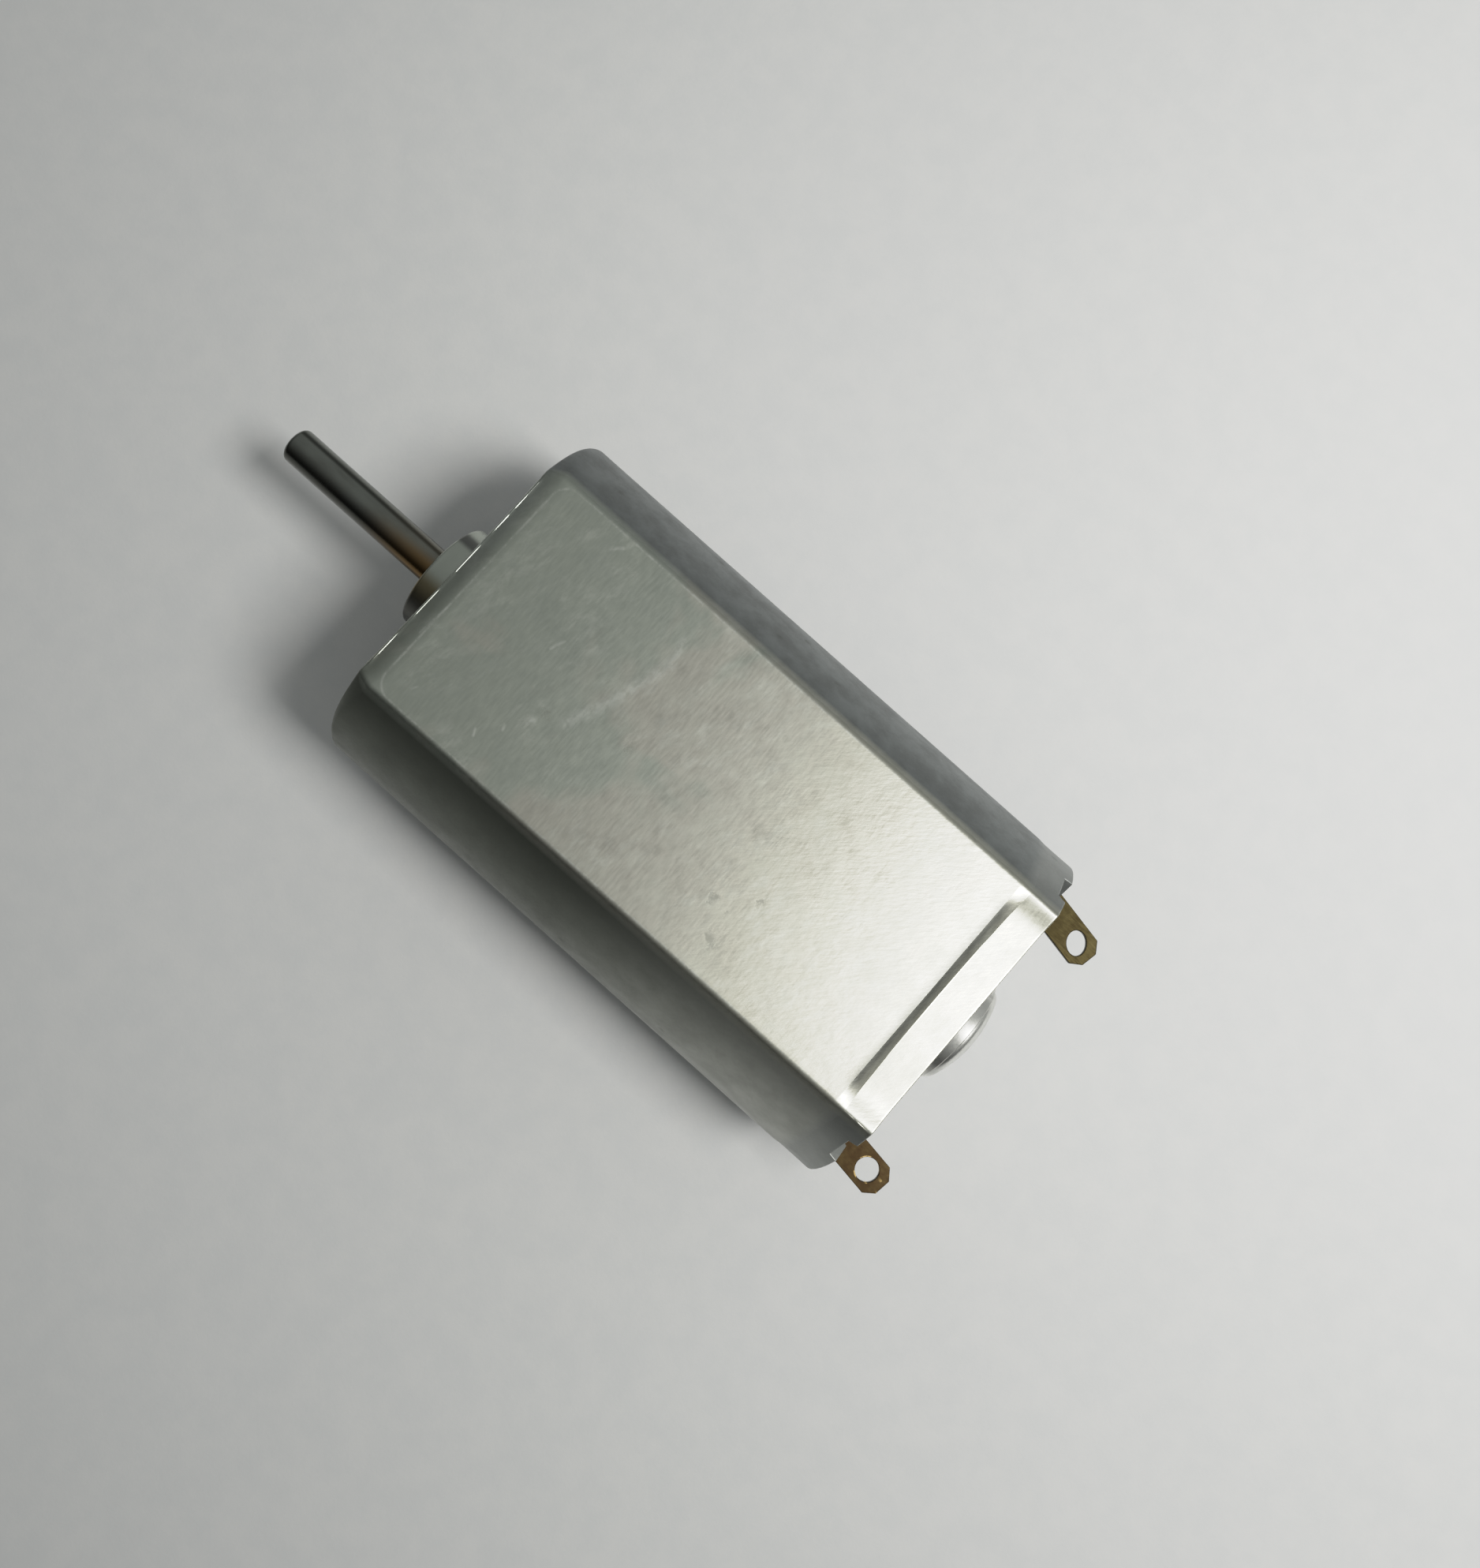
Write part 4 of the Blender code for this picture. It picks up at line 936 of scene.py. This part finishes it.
def build_can(material):
    """Drawn can with its boss, stepped rear band, notched and crimped rear edge and tapped holes."""
    bm = bmesh.new()
    loft(bm, can_rings(), True)
    can = finish_piece(bm, "can_shell", "can", "housing", material, 35.0)
    crease_band_step(can.data)
    for index, y in enumerate((-0.5 * SCREW_SPACING, 0.5 * SCREW_SPACING)):
        carve(can, f"screw_cutter_{index + 1}", screw_rings(y))


def build_shaft(material):
    """Ground shaft with softly rounded ends."""
    rear = SHAFT_LOW.x
    tip = SHAFT_HIGH.x
    radius = SHAFT_HIGH.z
    soft = 0.3
    chamfer = 0.2
    body = steps_between(rear + chamfer, tip - soft, 12)[:-1]
    profile = [(rear, radius - chamfer)] + [(x, radius) for x in body]
    profile += [(tip - soft * d, radius - soft * b) for b, d in quarter_turn(6)]
    profile.append((tip, 0.35 * radius))
    bm = lathe(profile, False)
    finish_piece(bm, "shaft_ground", "shaft", "rotor", material)


def build_rear_cap(material):
    """Pressed cap: shallow dome, rolled shoulder and straight skirt."""
    apex = CAP_LOW.x
    front = CAP_HIGH.x
    radius = CAP_HIGH.y
    sheet = 0.3
    dome = 6.36
    shoulder = 0.42
    middle = 0.12

    def crown(r, depth=0.0):
        return apex + dome - math.sqrt((dome - depth) ** 2 - r ** 2)

    outside = [(crown(r), r) for r in steps_between(middle, radius - shoulder * 0.9, 13)]
    last_x, last_r = outside[-1]
    slope = math.asin(last_r / dome)
    for a in steps_between(slope, 0.5 * math.pi, 7)[1:]:
        outside.append((
            last_x + shoulder * (math.cos(slope) - math.cos(a)),
            min(radius, last_r + shoulder * (math.sin(a) - math.sin(slope))),
        ))
    outside[-1] = (outside[-1][0], radius)
    outside += [(front - 0.06, radius), (front - 0.02, radius - 0.02), (front, radius - 0.06)]
    inside = [(front, radius - sheet), (last_x + 0.55, radius - sheet)]
    inside += [(crown(r, sheet), r) for r in steps_between(radius - sheet - 0.25 + middle, middle, 10)[:-1]]
    bm = lathe(outside + inside, False)
    finish_piece(bm, "cap_dome", "rear_cap", "housing", material)


def build_bush(name, node, material):
    """Sintered bush with chamfered corners."""
    low, high = local_box(node)
    bore = BUSH_BORE_RADIUS
    profile = ((low.x, bore), (low.x, high.y), (high.x, high.y), (high.x, bore))
    finish_piece(lathe(rounded(profile, BUSH_CHAMFER), True), name, node, "housing", material)


def tab_place(tab):
    """Function that lays a point (along, across) of a terminal into the X-Y plane."""
    yaw = math.radians(tab["yaw"])

    def lay(along, across):
        if along < 0.0:
            return (TAB_BEND_X - along, tab["y"] + across)
        return (
            TAB_BEND_X - along * math.cos(yaw) + across * math.sin(yaw),
            tab["y"] + along * math.sin(yaw) + across * math.cos(yaw),
        )

    return lay


def build_terminal(name, node, tab, material):
    """Blanked brass blade with rolled-over edges and a punched hole."""
    half = 0.5 * TAB_WIDTH
    inner = TAB_BEND_X - TAB_INNER_X
    end = tab["length"]
    lay = tab_place(tab)
    outline = [(inner, half), (-0.25, half), (0.25, half)]
    outline += [(end - TAB_CHAMFER, half), (end, half - TAB_CHAMFER)]
    outline += [(along, -across) for along, across in reversed(outline)]
    tilt = math.radians(tab["tilt"])
    major, minor = tab["hole"]
    hole = []
    for a in even_angles(HOLE_STEPS):
        p = major * math.cos(a)
        q = minor * math.sin(a)
        along = tab["hole_at"] + p * math.cos(tilt) - q * math.sin(tilt)
        hole.append((along, p * math.sin(tilt) + q * math.cos(tilt)))
    bm = bmesh.new()
    edges = []
    for points in (outline, hole):
        verts = [bm.verts.new((*lay(a, b), -0.5 * TAB_THICKNESS)) for a, b in points]
        for i, vert in enumerate(verts):
            edges.append(bm.edges.new((vert, verts[(i + 1) % len(verts)])))
    filled = bmesh.ops.triangle_fill(bm, use_beauty=True, use_dissolve=False, edges=edges)["geom"]
    faces = [item for item in filled if isinstance(item, bmesh.types.BMFace)]
    grown = bmesh.ops.extrude_face_region(bm, geom=faces)["geom"]
    top = [item for item in grown if isinstance(item, bmesh.types.BMVert)]
    bmesh.ops.translate(bm, vec=(0.0, 0.0, TAB_THICKNESS), verts=top)
    bmesh.ops.dissolve_limit(bm, angle_limit=0.01, verts=bm.verts, edges=bm.edges)
    finish_piece(bm, name, node, "housing", material, 30.0, bevel=TAB_BEVEL)


def build_end_bell(material):
    """Moulded plug: stepped rear face, bearing tower, and slots for the terminals."""
    rear = -CAN_LENGTH + 0.05
    plate_x = -30.4
    tower = 2.66
    bore = 2.04
    skirt_wall = 0.7
    edge = 0.12
    ledge = -31.62
    ledge_width = 0.5
    recess = rear + 0.12

    def outline(x, inset, bend=INNER_BEND):
        return section_ring(x, inset, bend, BELL_HIGH.y, BELL_HIGH.z)

    rings = [
        outline(BELL_HIGH.x - 0.08, 0.0),
        outline(ledge + 0.04, 0.0),
        outline(ledge, 0.04),
        outline(ledge, ledge_width - 0.06),
        outline(ledge - 0.06, ledge_width, 0.3),
        outline(rear + edge, ledge_width, 0.3),
        outline(rear + 0.3 * edge, ledge_width + 0.3 * edge, 0.3),
        outline(rear, ledge_width + edge, 0.3),
        outline(rear, 1.25, 0.5),
        outline(rear + 0.04, 1.3, 0.5),
        outline(recess, 1.36, 0.5),
    ]
    profile = [
        (recess, tower + 0.95),
        (recess - 0.04, tower + 0.85),
        (rear, tower + 0.75),
        (rear, tower + 0.12),
        (rear - 0.04, tower + 0.03),
        (rear - 0.12, tower),
        (BELL_LOW.x + 0.08, tower),
        (BELL_LOW.x, tower - 0.08),
        (BELL_LOW.x, bore + 0.05),
        (BELL_LOW.x + 0.05, bore),
        (plate_x, bore),
    ]
    rings += [circle(x, r, SECTION_ANGLES) for x, r in profile]
    rings += [outline(plate_x, skirt_wall), outline(BELL_HIGH.x, skirt_wall), outline(BELL_HIGH.x, 0.08)]
    bm = bmesh.new()
    loft(bm, rings, True)
    bell = finish_piece(bm, "bell_moulding", "end_bell", "housing", material)
    gap = 0.06
    half = 0.5 * TAB_WIDTH + gap
    depth = 0.5 * TAB_THICKNESS + gap
    corners = ((-half, -depth), (half, -depth), (half, depth), (-half, depth))
    for index, tab in enumerate((TAB_LEFT, TAB_RIGHT)):
        slot = [[(x, tab["y"] + y, z) for y, z in corners] for x in (-34.0, -26.0)]
        carve(bell, f"slot_cutter_{index + 1}", slot)


def dress(node, material):
    """Give a carried-over CAD node its finished material."""
    mesh = frame["nodes"][node].data
    mesh.materials.clear()
    mesh.materials.append(material)


def build_object():
    """Every visible piece and every carried-over node."""
    build_can(plated_steel())
    build_shaft(browned_steel())
    build_rear_cap(polished_steel("cap_look", (0.80, 0.80, 0.76), 0.26, 0.33, (1.0, 1.0, 1.0)))
    bronze = sintered("bronze_look", (0.42, 0.27, 0.13), (0.56, 0.38, 0.2), 0.9, 0.42)
    build_bush("front_bearing", "front_bush", bronze)
    build_bush("rear_bearing", "rear_bush", bronze)
    for side, tab in (("left", TAB_LEFT), ("right", TAB_RIGHT)):
        look = tarnished_and_shaded_brass(f"tab_{side}_look", tab)
        build_terminal(f"solder_tab_{side}", f"terminal_{side}", tab, look)
    build_end_bell(moulded("white_nylon_look", (0.80, 0.80, 0.76), (0.72, 0.72, 0.68), 0.42))

    dress("rotor_core", laminations())
    dress("magnet_clip", polished_steel("clip_look", (0.42, 0.42, 0.44), 0.25, 0.36, (0.4, 3.0, 3.0)))
    dress("front_spacer", polished_steel("spacer_look", (0.66, 0.46, 0.2), 0.24, 0.36, (5.0, 0.8, 0.8)))
    dress("commutator_hub", moulded("phenolic_look", (0.16, 0.07, 0.03), (0.22, 0.1, 0.05), 0.5))
    dress("varistor_ring", sintered("varistor_look", (0.09, 0.09, 0.1), (0.14, 0.14, 0.15), 0.1, 0.5))
    copper = polished_steel("copper_look", (0.80, 0.38, 0.22), 0.2, 0.32, (5.0, 0.8, 0.8))
    for index in range(3):
        dress(f"coil_{index + 1}", wound_wire(f"winding_look_{index + 1}", index))
        dress(f"commutator_bar_{index + 1}", copper)
    fibre = moulded("fibre_look", (0.45, 0.055, 0.04), (0.36, 0.04, 0.03), 0.6)
    for side in ("front", "rear"):
        dress(f"insulator_{side}", fibre)
    nylon = moulded("natural_nylon_look", (0.72, 0.66, 0.5), (0.64, 0.58, 0.42), 0.4)
    for node in ("front_washer", "rear_washer", "thrust_pad"):
        dress(node, nylon)
    ferrite = sintered("ferrite_look", (0.045, 0.045, 0.05), (0.075, 0.075, 0.08), 0.1, 0.6)
    spring = polished_steel("spring_look", (0.68, 0.42, 0.22), 0.2, 0.32, (0.5, 3.0, 3.0))
    carbon = sintered("carbon_look", (0.03, 0.03, 0.032), (0.06, 0.058, 0.056), 0.3, 0.5, 9.0)
    for side in ("left", "right"):
        dress(f"magnet_{side}", ferrite)
        dress(f"brush_spring_{side}", spring)
        dress(f"brush_{side}", carbon)


# ---------------------------------------------------------------- studio


ROOM_BRIGHT_SIDE = (-0.05, -0.6, 0.8)
ROOM_RISE = (-0.45, 0.95)
ROOM_DARK = 0.03
ROOM_LIGHT = 0.33
ROOM_COLOUR = (0.97, 1.0, 0.98, 1.0)
KEY_DIRECTION = (-0.54, -0.19, 1.0)
KEY_DISTANCE = 0.25
KEY_SIZE = 0.07
KEY_POWER = 0.101
KEY_COLOUR = (1.0, 0.99, 0.96)
KEY_AIM = (-0.040, -0.052, 0.0)
KEY_SPREAD = math.radians(70.0)
HIGHLIGHT_CURVE = ((0.22, 0.44), (0.33, 0.62), (0.45, 0.74), (0.65, 0.835), (1.0, 0.915))
HIGHLIGHT_WHITE = 2.0
PAPER_HALF_WIDTH = 1.5
PAPER_STEPS = 4
CAMERA_PLACE = (-18.649, 5.479, 75.137)
CAMERA_FORWARD = (0.0257, -0.1009, -0.9946)
CAMERA_UP = (0.6644, -0.7417, 0.0924)
CAMERA_LENS = 33.49
CAMERA_SENSOR = 36.0


def build_floor():
    """Pale matte paper with a faint tooth."""
    s = Shader("paper_look")
    fibres = s.noise(0.5, 6.0, 0.65)
    tint = s.blend(s.remap(fibres, 0.3, 0.7), (0.64, 0.65, 0.65), (0.67, 0.675, 0.67))
    normal = s.bump(s.noise(3.0, 4.0, 0.6), 0.01)
    paper = s.finish(tint, 0.9, normal, Specular_IOR_Level=0.1)
    bm = bmesh.new()
    bmesh.ops.create_grid(bm, x_segments=PAPER_STEPS, y_segments=PAPER_STEPS, size=PAPER_HALF_WIDTH)
    mesh = bpy.data.meshes.new("paper")
    bm.to_mesh(mesh)
    bm.free()
    mesh.materials.append(paper)
    floor = bpy.data.objects.new("paper", mesh)
    floor.location = (0.0, 0.0, CAD_BOUNDS[0][2])
    bpy.context.scene.collection.objects.link(floor)


def aim(place, target, up):
    """World matrix that looks from place to target with the given up direction."""
    back = (Vector(place) - Vector(target)).normalized()
    right = Vector(up).cross(back).normalized()
    true_up = back.cross(right)
    matrix = Matrix((right, true_up, back)).transposed().to_4x4()
    matrix.translation = place
    return matrix


def build_key_light():
    """Square softbox with a grid; its beam fades away from the point it is aimed at."""
    data = bpy.data.lights.new("softbox", "AREA")
    data.shape = "SQUARE"
    data.size = KEY_SIZE
    data.energy = KEY_POWER
    data.color = KEY_COLOUR
    data.spread = KEY_SPREAD
    light = bpy.data.objects.new("softbox", data)
    place = Vector(KEY_DIRECTION).normalized() * KEY_DISTANCE
    light.matrix_world = aim(place, KEY_AIM, (0.0, 0.0, 1.0))
    bpy.context.scene.collection.objects.link(light)


def build_world():
    """Dim room, brighter overhead and on the light's side."""
    world = bpy.data.worlds.new("room")
    world.use_nodes = True
    tree = world.node_tree
    background = tree.nodes["Background"]
    coordinates = tree.nodes.new("ShaderNodeTexCoord")
    facing = tree.nodes.new("ShaderNodeVectorMath")
    facing.operation = "DOT_PRODUCT"
    facing.inputs[1].default_value = ROOM_BRIGHT_SIDE
    tree.links.new(coordinates.outputs["Generated"], facing.inputs[0])
    rise = tree.nodes.new("ShaderNodeMapRange")
    rise.interpolation_type = "SMOOTHSTEP"
    rise.inputs["From Min"].default_value = ROOM_RISE[0]
    rise.inputs["From Max"].default_value = ROOM_RISE[1]
    rise.inputs["To Min"].default_value = ROOM_DARK
    rise.inputs["To Max"].default_value = ROOM_LIGHT
    tree.links.new(facing.outputs["Value"], rise.inputs["Value"])
    tree.links.new(rise.outputs["Result"], background.inputs["Strength"])
    background.inputs["Color"].default_value = ROOM_COLOUR
    bpy.context.scene.world = world


def build_camera():
    """Camera above the motor, a little behind its middle, turned so the shaft points up and left."""
    data = bpy.data.cameras.new("camera")
    data.lens = CAMERA_LENS
    data.sensor_fit = "VERTICAL"
    data.sensor_height = CAMERA_SENSOR
    data.sensor_width = CAMERA_SENSOR
    data.clip_start = 0.001
    camera = bpy.data.objects.new("camera", data)
    place = FRONT + Vector(CAMERA_PLACE) * MM
    camera.matrix_world = aim(place, place + Vector(CAMERA_FORWARD), CAMERA_UP)
    bpy.context.scene.collection.objects.link(camera)
    bpy.context.scene.camera = camera


def soften_highlights():
    """Plain display transform whose brightest values roll off gently, as a photograph's do."""
    view = bpy.context.scene.view_settings
    view.view_transform = "Standard"
    view.use_curve_mapping = True
    mapping = view.curve_mapping
    mapping.white_level = (HIGHLIGHT_WHITE,) * 3
    curve = mapping.curves[3]
    curve.points[-1].location = HIGHLIGHT_CURVE[-1]
    for place in HIGHLIGHT_CURVE[:-1]:
        curve.points.new(*place)
    mapping.update()


def build_studio():
    """Floor, room, light and camera."""
    build_floor()
    build_world()
    build_key_light()
    build_camera()
    soften_highlights()


build_object()
build_studio()
